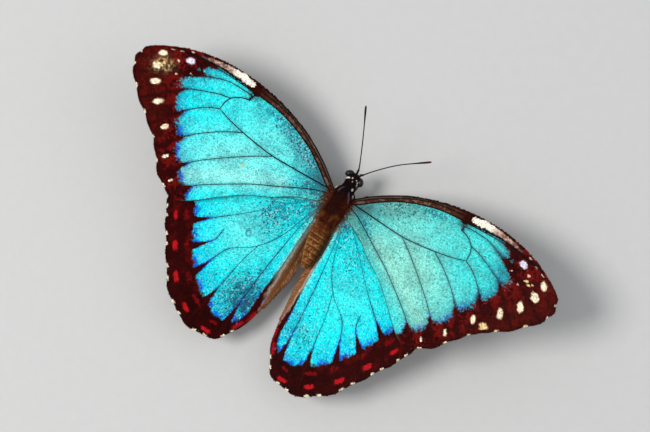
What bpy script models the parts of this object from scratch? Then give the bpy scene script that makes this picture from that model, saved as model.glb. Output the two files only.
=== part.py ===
"""Blue morpho butterfly at life size, standing with its wings spread.

The head points to -Y and the insect's own left is +X. Shapes are drawn in millimetres
about the floor point between the wing hinges, and an empty carries them to the frame
whose origin is the bottom centre of the whole insect.
"""

import math

import bmesh
import bpy
import numpy as np
from mathutils import Matrix, Vector

MM = 0.001
SIDES = {"left": 1, "right": -1}

# The floor point between the wing hinges, in the frame of the whole insect.
HINGE_POINT = (-0.02, -14.76)

# Each wing is a thin cambered shell about a hinge of its own.
WING_THICKNESS = 0.5
WING_RINGS = 5
WING_STEPS = 3
HINGE_HALF_WIDTH = 4.17
SPAN_ARCH = 1.0
SPAN_LENGTH = 61.0
CHORD_DROOP = 0.0006
SCALLOP_DEPTH = 0.45

# Outlines in wing coordinates, outward from the hinge and then forward: the front edge
# from the root, the ends of the veins down the outer margin, and the inner edge back.
WINGS = {
    "forewing": {
        "hinge_height": 9.0,
        "dihedral": 11.4,
        "sweep": {"left": 0.0, "right": 1.3},
        "centre": (30.0, -3.0),
        "costa": [(-2.4, -0.9), (0.0, 1.0), (8.0, 6.2), (18.0, 10.1), (28.8, 12.1),
                  (39.5, 12.1), (48.8, 10.1), (56.0, 7.1)],
        "vein_ends": [(60.1, 4.3), (61.2, 0.9), (59.5, -3.1), (54.3, -8.3), (48.5, -12.7),
                      (43.6, -17.1), (39.3, -22.2), (33.4, -25.5)],
        "inner": [(28.9, -24.1), (22.6, -19.1), (17.0, -14.7), (10.8, -11.2), (5.0, -7.3),
                  (-2.4, -4.3)],
    },
    "hindwing": {
        "hinge_height": 8.1,
        "dihedral": 8.8,
        "sweep": {"left": 0.0, "right": 2.4},
        "centre": (14.0, -27.0),
        "costa": [(-2.4, -3.4), (3.0, -4.3), (12.0, -6.3), (22.0, -10.5), (29.5, -16.5),
                  (33.2, -21.5)],
        "vein_ends": [(34.2, -25.8), (31.1, -31.8), (26.6, -38.5), (20.8, -46.1),
                      (12.4, -51.1), (3.6, -50.1), (-0.6, -44.0)],
        "inner": [(-2.4, -38.6), (-3.5, -31.8), (-3.9, -25.0), (-3.5, -18.5), (-2.9, -12.5),
                  (-2.4, -7.2)],
    },
}

# The hindwing's inner edge turns down into a trough that holds the abdomen.
FOLD_LINE = -0.2
FOLD_WIDTH = 3.6
FOLD_DEPTH = 3.2
FOLD_RISE = (-5.0, -14.0)
FOLD_FADE = (-24.0, -46.0)
FOLD_FADE_SHARE = 0.6

# Body stations: distance behind the hinges, sideways, height, half width, half height.
THORAX = [(-2.8, -0.4, 8.8, 1.85, 1.95), (-2.4, -0.4, 8.8, 2.1, 2.4),
          (-1.6, -0.4, 8.8, 2.2, 2.8), (-0.9, -0.4, 8.75, 2.75, 3.2),
          (0.0, -0.38, 8.7, 3.05, 3.5), (2.2, -0.35, 8.6, 3.2, 3.8),
          (5.2, -0.3, 8.55, 3.05, 3.7), (7.8, -0.36, 8.7, 2.7, 3.2),
          (9.2, -0.45, 8.8, 2.4, 2.5), (9.6, -0.45, 8.85, 1.85, 1.95)]
ABDOMEN = [(9.9, -0.45, 8.9, 1.8, 1.8), (10.5, -0.5, 8.9, 2.4, 2.25),
           (13.0, -0.72, 9.0, 2.7, 2.4), (16.0, -1.18, 8.95, 2.5, 2.3),
           (18.8, -1.58, 8.6, 2.0, 1.95), (20.8, -1.72, 8.2, 1.4, 1.4),
           (21.9, -1.65, 7.95, 0.65, 0.7)]
BODY_SIDES = 18
BODY_STEPS = 2
BODY_GAP = 0.3

# The head and what it carries turn about the neck: head coordinates are sideways to its
# left, forward and up from there. Its stations start with the distance behind the neck,
# and its back is cut to the thorax's gap.
NECK = (-0.03, -3.05, 8.8)
HEAD_YAW = 10.0
HEAD_ROLL = 8.0
HEAD = [(0.5, -0.1, 0.0, 1.6, 1.7), (-0.4, 0.0, -0.05, 1.75, 1.9),
        (-1.6, 0.0, -0.2, 1.9, 2.05), (-2.5, 0.0, -0.35, 1.55, 1.75),
        (-3.05, 0.0, -0.5, 0.95, 1.05)]
HEAD_GAP = 0.12
EYE_CENTRE = (1.85, 1.93, -0.1)
EYE_RADII = (0.88, 1.2, 1.25)
EYE_TURN = 40.0
EYE_SEGMENTS = 16
EYE_RINGS = 10
ANTENNA_RADII = (0.25, 0.25, 0.25, 0.25, 0.34)
ANTENNA_PATHS = {
    "left": [(0.3, 2.4, 0.3), (0.6, 4.2, 1.5), (2.75, 7.7, 3.85), (5.7, 12.0, 6.3),
             (9.5, 17.2, 9.0)],
    "right": [(-0.5, 2.4, 0.3), (-1.4, 4.2, 1.6), (-3.65, 7.8, 3.35), (-6.8, 12.1, 4.8),
              (-12.4, 18.0, 6.6)],
}
PALP_RADII = (0.36, 0.38, 0.32, 0.25)
PALP_PATH = [(0.45, 2.5, -1.4), (0.58, 3.45, -1.25), (0.65, 3.6, -0.4), (0.6, 3.6, 0.3)]

# Legs from the hip, which starts inside the thorax and is cut to its gap, to the claw:
# outward, behind the hinges, height. The last stretch lies flattened on the floor.
LEG_PATHS = {
    "foreleg": [(0.8, -1.2, 5.8), (1.15, -2.8, 4.9), (1.25, -4.4, 4.8), (1.0, -5.7, 5.4)],
    "midleg": [(1.0, 1.7, 5.7), (2.2, 1.0, 4.5), (4.2, -1.9, 5.7), (5.7, -4.0, 6.5),
               (7.3, -3.2, 3.6), (8.7, -2.0, 0.9), (9.9, -0.4, 0.26), (11.5, 1.9, 0.26)],
    "hindleg": [(1.0, 6.0, 5.9), (2.5, 7.4, 4.7), (5.2, 10.1, 5.2), (7.2, 12.6, 5.5),
                (8.4, 15.2, 2.9), (9.2, 17.2, 0.8), (10.0, 19.0, 0.26), (11.2, 21.5, 0.26)],
}
# The left middle leg stands further back than the right one, from its knee on.
MIDLEG_SHIFT = {"left": 2.8, "right": 1.3}
MIDLEG_KNEE = 3
LEG_RADIUS_HIP = 0.46
LEG_RADIUS_CLAW = 0.29
TUBE_STEPS = 2

COLOURS = {
    "head": (0.012, 0.009, 0.014), "thorax": (0.035, 0.017, 0.012),
    "abdomen": (0.10, 0.05, 0.028), "eye": (0.006, 0.005, 0.006),
    "antenna": (0.008, 0.007, 0.008), "palp": (0.012, 0.009, 0.012),
    "leg": (0.025, 0.014, 0.012), "forewing": (0.02, 0.50, 0.66),
    "hindwing": (0.015, 0.54, 0.70),
}
ROUGHNESS = {"eye": 0.2, "forewing": 0.35, "hindwing": 0.35}
FUR_ROUGHNESS = 0.8


def clear_scene():
    for obj in list(bpy.data.objects):
        bpy.data.objects.remove(obj, do_unlink=True)


def new_collection(name):
    collection = bpy.data.collections.new(name)
    bpy.context.scene.collection.children.link(collection)
    return collection


def new_carrier(name, collection, location, parent=None):
    """An empty that places what hangs from it; its location is in millimetres."""
    empty = bpy.data.objects.new(name, None)
    collection.objects.link(empty)
    empty.location = Vector(location) * MM
    empty.parent = parent
    return empty


def material(kind):
    name = "mat_" + kind
    if name in bpy.data.materials:
        return bpy.data.materials[name]
    made = bpy.data.materials.new(name)
    made.use_nodes = True
    shader = made.node_tree.nodes["Principled BSDF"]
    shader.inputs["Base Color"].default_value = COLOURS[kind] + (1.0,)
    shader.inputs["Roughness"].default_value = ROUGHNESS.get(kind, FUR_ROUGHNESS)
    shader.inputs["Metallic"].default_value = 0.0
    return made


def mesh_from(name, fill):
    """The mesh of what fill(bmesh) draws in millimetres, with its faces turned outwards."""
    build = bmesh.new()
    fill(build)
    bmesh.ops.recalc_face_normals(build, faces=build.faces)
    bmesh.ops.scale(build, vec=(MM, MM, MM), verts=build.verts)
    mesh = bpy.data.meshes.new(name)
    build.to_mesh(mesh)
    build.free()
    return mesh


def place(name, mesh, kind, collection, carrier):
    obj = bpy.data.objects.new(name, mesh)
    collection.objects.link(obj)
    obj.parent = carrier
    mesh.materials.clear()
    mesh.materials.append(material(kind))
    mesh.shade_smooth()
    return obj


def as_cutter(obj):
    obj.hide_render = True
    obj.display_type = "WIRE"
    return obj


def cut(obj, cutter):
    hole = obj.modifiers.new("clear_of_" + cutter.name, "BOOLEAN")
    hole.operation = "DIFFERENCE"
    hole.object = cutter


def spline(points, steps):
    """Rows of a Catmull-Rom curve through an open list of points of any dimension."""
    rows = np.array(points, float)
    rows = np.vstack([2 * rows[0] - rows[1], rows, 2 * rows[-1] - rows[-2]])
    made = []
    for p0, p1, p2, p3 in zip(rows, rows[1:], rows[2:], rows[3:]):
        for t in np.arange(steps) / steps:
            made.append(0.5 * (2 * p1 + (p2 - p0) * t + (2 * p0 - 5 * p1 + 4 * p2 - p3) * t ** 2
                               + (3 * p1 - p0 - 3 * p2 + p3) * t ** 3))
    made.append(rows[-2])
    return made


def fade(value, start, end):
    """0 at start, 1 at end and smooth between them."""
    share = min(max((value - start) / (end - start), 0.0), 1.0)
    return share * share * (3 - 2 * share)


# Wings


def wing_outline(shape):
    """The closed outline, drawn in between one vein's end and the next."""
    points = spline(shape["costa"] + shape["vein_ends"] + shape["inner"], WING_STEPS)
    first = len(shape["costa"]) * WING_STEPS
    last = first + (len(shape["vein_ends"]) - 1) * WING_STEPS
    hub = np.array(shape["centre"])
    for i in range(first, last):
        inward = (hub - points[i]) / np.linalg.norm(hub - points[i])
        phase = (i - first) % WING_STEPS / WING_STEPS
        points[i] = points[i] + inward * SCALLOP_DEPTH * math.sin(math.pi * phase) ** 2
    return points


def fold_drop(out, forward):
    """How far the hindwing's inner edge hangs below the wing's own surface."""
    across = min(max((FOLD_LINE - out) / FOLD_WIDTH, 0.0), 1.0)
    along = fade(forward, *FOLD_RISE) * (1 - FOLD_FADE_SHARE * fade(forward, *FOLD_FADE))
    return FOLD_DEPTH * along * math.sin(0.5 * math.pi * across) ** 2


def wing_height(kind, out, forward):
    arch = SPAN_ARCH * math.sin(math.pi * min(max(out / SPAN_LENGTH, 0.0), 1.0))
    height = arch - CHORD_DROOP * forward ** 2
    return height - fold_drop(out, forward) if kind == "hindwing" else height


def add_wing(kind, side, collection, carrier):
    """Rings of the outline, shrunk towards its centre, made a shell by Solidify."""
    shape = WINGS[kind]
    sign = SIDES[side]
    outline = wing_outline(shape)
    hub = np.array(shape["centre"])

    def fill(build):
        def corner(point):
            return build.verts.new((sign * point[0], -point[1], wing_height(kind, *point)))

        rings = [[corner(hub + (point - hub) * share) for point in outline]
                 for share in np.arange(1, WING_RINGS + 1) / WING_RINGS]
        middle = corner(hub)
        for i in range(len(outline)):
            build.faces.new((middle, rings[0][i - 1], rings[0][i]))
            for inner, outer in zip(rings, rings[1:]):
                build.faces.new((inner[i - 1], outer[i - 1], outer[i], inner[i]))

    name = kind + "_" + side
    obj = place(name, mesh_from(name, fill), kind, collection, carrier)
    tilt = Matrix.Rotation(math.radians(-sign * shape["dihedral"]), 3, "Y")
    swing = Matrix.Rotation(math.radians(shape["sweep"][side]), 3, "Z")
    obj.rotation_euler = (tilt @ swing).to_euler()
    obj.location = Vector((sign * HINGE_HALF_WIDTH, 0.0, shape["hinge_height"])) * MM
    shell = obj.modifiers.new("thickness", "SOLIDIFY")
    shell.thickness = WING_THICKNESS * MM
    shell.offset = 0.0
    return obj


# Body


def loft(name, stations, sides, grow=0.0):
    """A closed body of elliptical rings; grow swells it for use as a cutter."""
    rows = spline(stations, BODY_STEPS)
    rows[0][0] -= math.copysign(grow, rows[-1][0] - rows[0][0])
    rows[-1][0] += math.copysign(grow, rows[-1][0] - rows[0][0])

    def fill(build):
        rings = []
        for along, sideways, height, half_width, half_height in rows:
            ring = []
            for i in range(sides):
                turn = 2 * math.pi * i / sides
                ring.append(build.verts.new((sideways + (half_width + grow) * math.sin(turn),
                                             along,
                                             height + (half_height + grow) * math.cos(turn))))
            rings.append(ring)
        for ring, after in zip(rings, rings[1:]):
            for i in range(sides):
                build.faces.new((ring[i - 1], after[i - 1], after[i], ring[i]))
        build.faces.new(rings[0])
        build.faces.new(rings[-1])

    return mesh_from(name, fill)


def add_body(collection, cutters, carrier):
    """The thorax and abdomen, and the swollen copies that keep their neighbours off."""
    grown = {}
    for name, stations in (("thorax", THORAX), ("abdomen", ABDOMEN)):
        place(name, loft(name, stations, BODY_SIDES), name, collection, carrier)
        swollen = loft(name + "_room", stations, BODY_SIDES, BODY_GAP)
        grown[name] = as_cutter(place(name + "_room", swollen, name, cutters, carrier))
    return grown


# Head


def eye_mesh(name, sign, grow=0.0):
    def fill(build):
        bmesh.ops.create_uvsphere(build, u_segments=EYE_SEGMENTS, v_segments=EYE_RINGS, radius=1.0)
        radii = [radius + grow for radius in EYE_RADII]
        bmesh.ops.scale(build, vec=radii, verts=build.verts)
        turn = Matrix.Rotation(math.radians(-sign * EYE_TURN), 3, "Z")
        bmesh.ops.rotate(build, cent=(0, 0, 0), matrix=turn, verts=build.verts)
        sideways, forward, up = EYE_CENTRE
        bmesh.ops.translate(build, vec=(sign * sideways, -forward, up), verts=build.verts)

    return mesh_from(name, fill)


def tube(name, path, radii, kind, collection, carrier):
    """A closed tube along a smooth path, as a mesh of the carrier's frame."""
    rows = spline([point + (radius,) for point, radius in zip(path, radii)], TUBE_STEPS)
    curve = bpy.data.curves.new(name + "_path", "CURVE")
    curve.dimensions = "3D"
    curve.bevel_depth = MM
    curve.bevel_resolution = 2
    curve.use_fill_caps = True
    line = curve.splines.new("POLY")
    line.points.add(len(rows) - 1)
    for point, (x, y, z, radius) in zip(line.points, rows):
        point.co = (x * MM, y * MM, z * MM, 1.0)
        point.radius = radius
    guide = bpy.data.objects.new(name + "_path", curve)
    collection.objects.link(guide)
    guide.parent = carrier
    bpy.context.view_layer.update()
    graph = bpy.context.evaluated_depsgraph_get()
    mesh = bpy.data.meshes.new_from_object(guide.evaluated_get(graph))
    mesh.name = name
    bpy.data.objects.remove(guide, do_unlink=True)
    build = bmesh.new()
    build.from_mesh(mesh)
    bmesh.ops.remove_doubles(build, verts=build.verts, dist=0.001 * MM)
    bmesh.ops.recalc_face_normals(build, faces=build.faces)
    build.to_mesh(mesh)
    build.free()
    return place(name, mesh, kind, collection, carrier)


def add_head(thorax_room, collection, cutters, carrier):
    neck = new_carrier("neck", collection, NECK, carrier)
    turn = Matrix.Rotation(math.radians(-HEAD_YAW), 3, "Z")
    neck.rotation_euler = (turn @ Matrix.Rotation(math.radians(-HEAD_ROLL), 3, "Y")).to_euler()
    head = place("head", loft("head", HEAD, BODY_SIDES), "head", collection, neck)
    swollen = loft("head_room", HEAD, BODY_SIDES, HEAD_GAP)
    head_room = as_cutter(place("head_room", swollen, "head", cutters, neck))
    cut(head, thorax_room)
    for side, sign in SIDES.items():
        eye_name = "eye_" + side
        place(eye_name, eye_mesh(eye_name, sign), "eye", collection, neck)
        room = eye_mesh(eye_name + "_room", sign, HEAD_GAP)
        cut(head, as_cutter(place(eye_name + "_room", room, "eye", cutters, neck)))
        feeler = [(x, -forward, up) for x, forward, up in ANTENNA_PATHS[side]]
        cut(tube("antenna_" + side, feeler, ANTENNA_RADII, "antenna", collection, neck), head_room)
        palp = [(sign * x, -forward, up) for x, forward, up in PALP_PATH]
        cut(tube("palp_" + side, palp, PALP_RADII, "palp", collection, neck), head_room)


# Legs


def add_leg(kind, side, thorax_room, collection, carrier):
    points = LEG_PATHS[kind]
    stride = MIDLEG_SHIFT[side] if kind == "midleg" else 0.0
    path = [(SIDES[side] * out, behind + stride * min(i / MIDLEG_KNEE, 1.0), up)
            for i, (out, behind, up) in enumerate(points)]
    radii = np.linspace(LEG_RADIUS_HIP, LEG_RADIUS_CLAW, len(path))
    leg = tube(kind + "_" + side, path, radii, "leg", collection, carrier)
    for vertex in leg.data.vertices:
        vertex.co.z = max(vertex.co.z, 0.0)
    cut(leg, thorax_room)


def main():
    clear_scene()
    insect = new_collection("blue_morpho_butterfly")
    cutters = new_collection("cutters")
    carrier = new_carrier("hinge_point", insect, HINGE_POINT + (0.0,))
    rooms = add_body(insect, cutters, carrier)
    add_head(rooms["thorax"], insect, cutters, carrier)
    for side in SIDES:
        for kind in WINGS:
            wing = add_wing(kind, side, insect, carrier)
            cut(wing, rooms["thorax"])
        cut(wing, rooms["abdomen"])
        for kind in LEG_PATHS:
            add_leg(kind, side, rooms["thorax"], insect, carrier)


main()
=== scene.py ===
"""The looks of the blue morpho butterfly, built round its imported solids.

Shapes are drawn in millimetres about the floor point between the wing hinges, with the head
to -Y and the insect's left at +X, and land in the frame of the solids.
"""

import math

import bpy
import numpy as np
from mathutils import Matrix, Vector


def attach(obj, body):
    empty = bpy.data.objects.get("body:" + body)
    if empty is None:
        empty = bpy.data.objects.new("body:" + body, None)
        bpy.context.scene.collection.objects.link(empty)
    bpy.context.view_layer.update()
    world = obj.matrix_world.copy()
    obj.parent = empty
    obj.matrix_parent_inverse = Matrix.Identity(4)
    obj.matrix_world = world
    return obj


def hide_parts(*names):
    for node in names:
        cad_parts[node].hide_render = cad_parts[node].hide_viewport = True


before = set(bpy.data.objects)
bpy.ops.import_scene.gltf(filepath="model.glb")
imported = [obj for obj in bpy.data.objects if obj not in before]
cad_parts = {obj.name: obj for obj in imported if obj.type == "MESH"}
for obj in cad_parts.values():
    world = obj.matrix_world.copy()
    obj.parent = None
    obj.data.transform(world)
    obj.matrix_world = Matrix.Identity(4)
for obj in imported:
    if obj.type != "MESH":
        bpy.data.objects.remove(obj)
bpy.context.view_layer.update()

MM = 0.001
HINGE_POINT = np.array((-0.02, -14.76, 0.0))
SIDES = {"left": 1, "right": -1}


# Colours, named by what they are on, as screen values.


def screen(red, green, blue):
    share = np.array((red, green, blue)) / 255.0
    return np.where(share <= 0.04045, share / 12.92, ((share + 0.055) / 1.055) ** 2.4)


CYAN = screen(16, 230, 236)
CYAN_DEEP = screen(0, 210, 236)
CYAN_PALE = screen(160, 244, 232)
SHEEN_MINT = screen(152, 218, 200)
SHEEN_TEAL = screen(64, 200, 196)
SLATE = screen(34, 84, 112)
SAGE = screen(88, 138, 126)
ROYAL = screen(8, 56, 204)
BORDER = screen(44, 4, 4)
BORDER_RED = screen(100, 13, 11)
APEX_BROWN = screen(66, 14, 7)
CREAM = screen(247, 228, 195)
LILAC_WHITE = screen(232, 222, 240)
GOLD = screen(226, 198, 140)
CRIMSON = screen(172, 18, 26)
CRIMSON_DULL = screen(104, 8, 12)
COSTA_BROWN = screen(78, 42, 26)
STRIP_DARK = screen(16, 7, 6)
COSTA_PALE = screen(144, 118, 104)
COSTAL_PINK = screen(212, 176, 158)
WORN_NAVY = screen(20, 44, 84)
WORN_BLACK = screen(28, 40, 36)
WORN_PALE = screen(196, 216, 226)
WORN_SAND = screen(186, 184, 164)
VEIN_DARK = screen(10, 14, 18)
VEIN_TEAL = screen(52, 96, 104)
# Lighter than the fold's own brown: painted light that lifts the shade the fold falls in where it
# dips.
FOLD_BROWN_LIT = screen(158, 102, 56)
FOLD_TAN = screen(214, 166, 122)
FOLD_PALE = screen(226, 190, 168)
FRINGE_DARK = screen(26, 8, 8)
UNDER_BROWN = screen(112, 84, 60)
UNDER_DARK = screen(70, 48, 34)
UNDER_CREAM = screen(206, 190, 156)
UNDER_ORANGE = screen(176, 96, 46)
EYESPOT_YELLOW = screen(206, 166, 60)
EYESPOT_BLACK = screen(16, 12, 14)
COLLAR_BLACK = screen(20, 6, 9)
THORAX_BROWN = screen(44, 11, 4)
THORAX_RUST = screen(84, 28, 9)
THORAX_TAN_AND_HIGHLIGHT = screen(150, 92, 44)
ABDOMEN_BROWN = screen(128, 74, 27)
ABDOMEN_DARK = screen(76, 31, 10)
RING_TAN = screen(192, 142, 82)
BELLY_BUFF = screen(150, 116, 80)
STREAK_WHITE = screen(246, 236, 220)
STREAK_LILAC = screen(120, 96, 116)
LEG_BROWN = screen(40, 26, 20)
LEG_BUFF = screen(150, 120, 88)
FEELER_BLACK = screen(12, 9, 9)
FEELER_RUST = screen(62, 30, 18)
EYE_DARK = screen(5, 4, 6)
EYE_SHEEN = screen(58, 36, 34)


# Numbers


def fade(value, start, end):
    """0 at start, 1 at end and smooth between them."""
    share = np.clip((value - start) / (end - start), 0, 1)
    return share * share * (3 - 2 * share)


def hump(distance, width):
    return np.exp(-((distance / width) ** 2))


def far(points, centre):
    """Each point's distance from a centre."""
    return np.linalg.norm(points - centre, axis=1)


def gone_along(line):
    """How far along a line each of its points is."""
    return np.concatenate([[0.0], np.cumsum(np.linalg.norm(np.diff(line, axis=0), axis=1))])


def places_along(line, along):
    """A line's places at distances along it."""
    gone = gone_along(line)
    return np.stack([np.interp(along, gone, column) for column in line.T], axis=1)


def spline(points, steps):
    """Rows of a Catmull-Rom curve through an open list of points of any dimension."""
    rows = np.array(points, float)
    rows = np.vstack([2 * rows[0] - rows[1], rows, 2 * rows[-1] - rows[-2]])
    p0, p1, p2, p3 = (rows[i:len(rows) - 3 + i, None] for i in range(4))
    t = (np.arange(steps) / steps)[None, :, None]
    made = 0.5 * (2 * p1 + (p2 - p0) * t + (2 * p0 - 5 * p1 + 4 * p2 - p3) * t ** 2
                  + (3 * p1 - p0 - 3 * p2 + p3) * t ** 3)
    return np.vstack([made.reshape(-1, rows.shape[1]), rows[-2:-1]])


def unit(vectors):
    return vectors / np.maximum(np.linalg.norm(vectors, axis=-1, keepdims=True), 1e-12)


def reach(points, line):
    """Each point's distance to a polyline, and how far along it the nearest place is, 0 to 1."""
    line = np.asarray(line, float)
    lengths = np.maximum(np.linalg.norm(np.diff(line, axis=0), axis=1), 1e-9)
    starts = np.concatenate([[0.0], np.cumsum(lengths)])
    best, along = np.full(len(points), np.inf), np.zeros(len(points))
    for a, b, start, length in zip(line, line[1:], starts, lengths):
        t = np.clip(((points - a) @ (b - a)) / length ** 2, 0, 1)
        distance = np.linalg.norm(points - a - t[:, None] * (b - a), axis=1)
        closer = distance < best
        best, along = np.where(closer, distance, best), np.where(closer, start + t * length, along)
    return best, along / starts[-1]


def inside(points, ring):
    """Whether each point lies in a closed outline."""
    odd = np.zeros(len(points), bool)
    x, y = points.T
    for (x0, y0), (x1, y1) in zip(ring, np.roll(ring, -1, axis=0)):
        crosses = (y0 > y) != (y1 > y)
        if crosses.any():
            odd ^= crosses & (x < (x1 - x0) * (y - y0) / (y1 - y0 + 1e-15) + x0)
    return odd


def mottle(points, size, seed):
    """Smooth random patches about size across, 0 to 1."""
    lattice = np.random.default_rng(seed).random((64, 64))
    cell = points / size
    low = np.floor(cell).astype(int)
    part = cell - low
    part = part * part * (3 - 2 * part)
    (i, j), (u, v) = (low % 64).T, part.T
    rows = [lattice[i % 64, (j + n) % 64] * (1 - u) + lattice[(i + 1) % 64, (j + n) % 64] * u
            for n in (0, 1)]
    return rows[0] * (1 - v) + rows[1] * v


def patches(points, size, seed, low, high):
    """Soft-edged random patches: 0 where mottle is at low, 1 where it is at high."""
    return fade(mottle(points, size, seed), low, high)


def plain(colour, points):
    """One colour for each of the points."""
    return np.tile(colour, (len(points), 1))


def oval(points, centre, long, short, turn):
    """How far points are from the centre of an oval turned by degrees, 1 at its rim."""
    angle = math.radians(turn)
    x, y = (points - centre).T
    return np.hypot((x * math.cos(angle) + y * math.sin(angle)) / long,
                    (y * math.cos(angle) - x * math.sin(angle)) / short)


def lay(tint, colour, share):
    """The tints with a colour laid over them."""
    share = np.clip(share, 0, 1) * np.ones(len(tint))
    return tint * (1 - share[:, None]) + colour * share[:, None]


def turn_about(axis, degrees):
    return np.array(Matrix.Rotation(math.radians(degrees), 3, axis))


# Meshes


def new_object(name, data):
    """An object in the scene that holds the data."""
    made = bpy.data.objects.new(name, data)
    bpy.context.scene.collection.objects.link(made)
    return made


def new_piece(name, points, faces, tints, material, roots=None, smooth=True):
    """A mesh piece in millimetres with a tint for each point, riding on the insect.

    For a coat, roots holds each point's place on the unwrap of the skin below it.
    """
    mesh = bpy.data.meshes.new(name)
    loops = np.concatenate([np.asarray(f, np.int32).ravel() for f in faces])
    totals = np.concatenate([np.full(len(f), np.asarray(f).shape[1]) for f in faces])
    mesh.vertices.add(len(points))
    mesh.vertices.foreach_set("co", ((points + HINGE_POINT) * MM).astype(np.float32).ravel())
    mesh.loops.add(len(loops))
    mesh.loops.foreach_set("vertex_index", loops)
    mesh.polygons.add(len(totals))
    starts = np.concatenate([[0], np.cumsum(totals)[:-1]]).astype(np.int32)
    mesh.polygons.foreach_set("loop_start", starts)
    mesh.polygons.foreach_set("use_smooth", np.full(len(totals), smooth))
    mesh.update(calc_edges=True)
    colour = mesh.attributes.new("tint", "FLOAT_COLOR", "POINT")
    rgba = np.ones((len(points), 4), np.float32)
    rgba[:, :3] = np.clip(tints, 0, 1)
    colour.data.foreach_set("color", rgba.ravel())
    if roots is not None:
        layer = mesh.uv_layers.new(name="OFBake")
        layer.data.foreach_set("uv", roots[loops].astype(np.float32).ravel())
    mesh.materials.append(material)
    piece = new_object(name, mesh)
    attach(piece, "root")
    return piece


# How far a tuft's or scale's corners are from its root's place on the unwrap.
UV_PATCH = 0.0015
# A hair tuft is a three-sided blade that tapers to a point. Its rings, by share of its length,
# with their share of its width:
TUFT_RINGS = ((0.0, 1.0), (0.5, 0.75))
# A scale's outline along and across it, its faces, and how far below them it is closed.
SCALE_SHAPE = np.array([(0, 0), (0.4, 0.5), (0.92, 0.36), (1.0, 0), (0.92, -0.36), (0.4, -0.5)])
SCALE_FACES = np.array([(0, 5, 1), (1, 5, 4), (1, 4, 2), (2, 4, 3)])
SCALE_BODY = 0.02


def tufts(name, at, along, normal, length, width, lift, curl, tints, roots, material,
          tip_tint=1.0):
    """Closed tapering blades that start at `at`, lean along `along` and curl back down."""
    count = len(at)
    across = unit(np.cross(along, normal))
    length, width = np.broadcast_to(length, count), np.broadcast_to(width, count)
    lift, curl = np.broadcast_to(lift, count), np.broadcast_to(curl, count)

    def spine(t):
        rise = lift * t - curl * t * t
        return at + (along * t + normal * rise[:, None]) * length[:, None]

    corners = np.radians((90, 210, 330))
    points, spread = [], []
    for t, share in TUFT_RINGS:
        for angle in corners:
            offset = across * math.cos(angle) + normal * (0.6 * math.sin(angle))
            points.append(spine(t) + offset * (0.5 * share * width)[:, None])
            spread.append((math.cos(angle), math.sin(angle)))
    points.append(spine(1.0))
    spread.append((0.0, 0.0))
    points = np.stack(points, axis=1)
    tris = np.array([(0, 2, 1), (3, 4, 6), (4, 5, 6), (5, 3, 6)])
    quads = np.array([(0, 1, 4, 3), (1, 2, 5, 4), (2, 0, 3, 5)])
    base = 7 * np.arange(count)[:, None, None]
    shade = np.array([0.75, 0.75, 0.75, 0.95, 0.95, 0.95, tip_tint])
    colours = tints[:, None, :] * shade[None, :, None]
    maps = roots[:, None, :] + np.array(spread)[None] * UV_PATCH
    return new_piece(name, points.reshape(-1, 3),
                     [(base + tris).reshape(-1, 3), (base + quads).reshape(-1, 4)],
                     colours.reshape(-1, 3), material, maps.reshape(-1, 2))


def scales(name, at, along, normal, length, width, rise, tints, roots, material):
    """Closed thin scales that overlap like shingles."""
    count = len(at)
    across = unit(np.cross(normal, along))
    along = unit(along + normal * (rise / length)[:, None])
    u, v = SCALE_SHAPE.T
    points = (at[:, None] + along[:, None] * (u[None, :] * length[:, None])[..., None]
              + across[:, None] * (v[None, :] * width[:, None])[..., None])
    below = at + along * (0.5 * length)[:, None] - normal * SCALE_BODY
    points = np.concatenate([points, below[:, None]], axis=1)
    edge = len(SCALE_SHAPE)
    rim = np.arange(edge)
    under = np.stack([np.roll(rim, -1), rim, np.full(edge, edge)], axis=1)
    tris = np.concatenate([SCALE_FACES, under])
    base = (edge + 1) * np.arange(count)[:, None, None]
    colours = np.repeat(tints[:, None, :], edge + 1, axis=1)
    spread = np.vstack([np.stack([2 * u - 1, 2 * v], axis=1), [(0, 0)]])
    maps = roots[:, None, :] + spread[None] * UV_PATCH
    return new_piece(name, points.reshape(-1, 3), [(base + tris).reshape(-1, 3)],
                     colours.reshape(-1, 3), material, maps.reshape(-1, 2), smooth=False)


def ring_quads(rings, sides, first=0, turned=False):
    """Quads between rings of points that follow each other from the index first."""
    i = np.arange(sides)
    j = (i + 1) % sides
    start = first + sides * np.arange(rings - 1)[:, None]
    corners = [start + i, start + j, start + sides + j, start + sides + i]
    if turned:
        corners = [corners[k] for k in (0, 3, 2, 1)]
    return np.stack(corners, -1).reshape(-1, 4)


def fan(hub, first, sides, turned=False):
    """Triangles from a hub point to a ring of points that starts at the index first."""
    i = np.arange(sides)
    j = (i + 1) % sides
    if turned:
        i, j = j, i
    return np.stack([np.full(sides, hub), first + i, first + j], axis=1)


def tube_mesh(path, radii, sides, flat=1.0):
    """Points and faces of a closed tube along a path of rows, with a radius for each row."""
    tangent = unit(np.gradient(path, axis=0))
    up = np.array((0.0, 0.0, 1.0))
    side = unit(np.cross(tangent, up) + np.array((1e-6, 0, 0)))
    for i in range(1, len(side)):
        side[i] = unit(side[i - 1] - tangent[i] * (side[i - 1] @ tangent[i]))
    lift = np.cross(side, tangent)
    angle = 2 * np.pi * np.arange(sides) / sides
    ring = (side[:, None] * np.cos(angle)[None, :, None]
            + lift[:, None] * (flat * np.sin(angle))[None, :, None])
    points = (path[:, None] + ring * radii[:, None, None]).reshape(-1, 3)
    end = np.arange(sides)[None]
    return points, [ring_quads(len(path), sides), end[:, ::-1], (len(path) - 1) * sides + end]


def joined(meshes):
    """Points and faces of several meshes as one, and which mesh each point comes from."""
    points, faces, owner, start = [], {}, [], 0
    for k, (some, groups) in enumerate(meshes):
        points.append(some)
        owner.append(np.full(len(some), k))
        for group in groups:
            faces.setdefault(group.shape[1], []).append(group + start)
        start += len(some)
    return np.vstack(points), [np.vstack(group) for group in faces.values()], np.concatenate(owner)


# Materials


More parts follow.
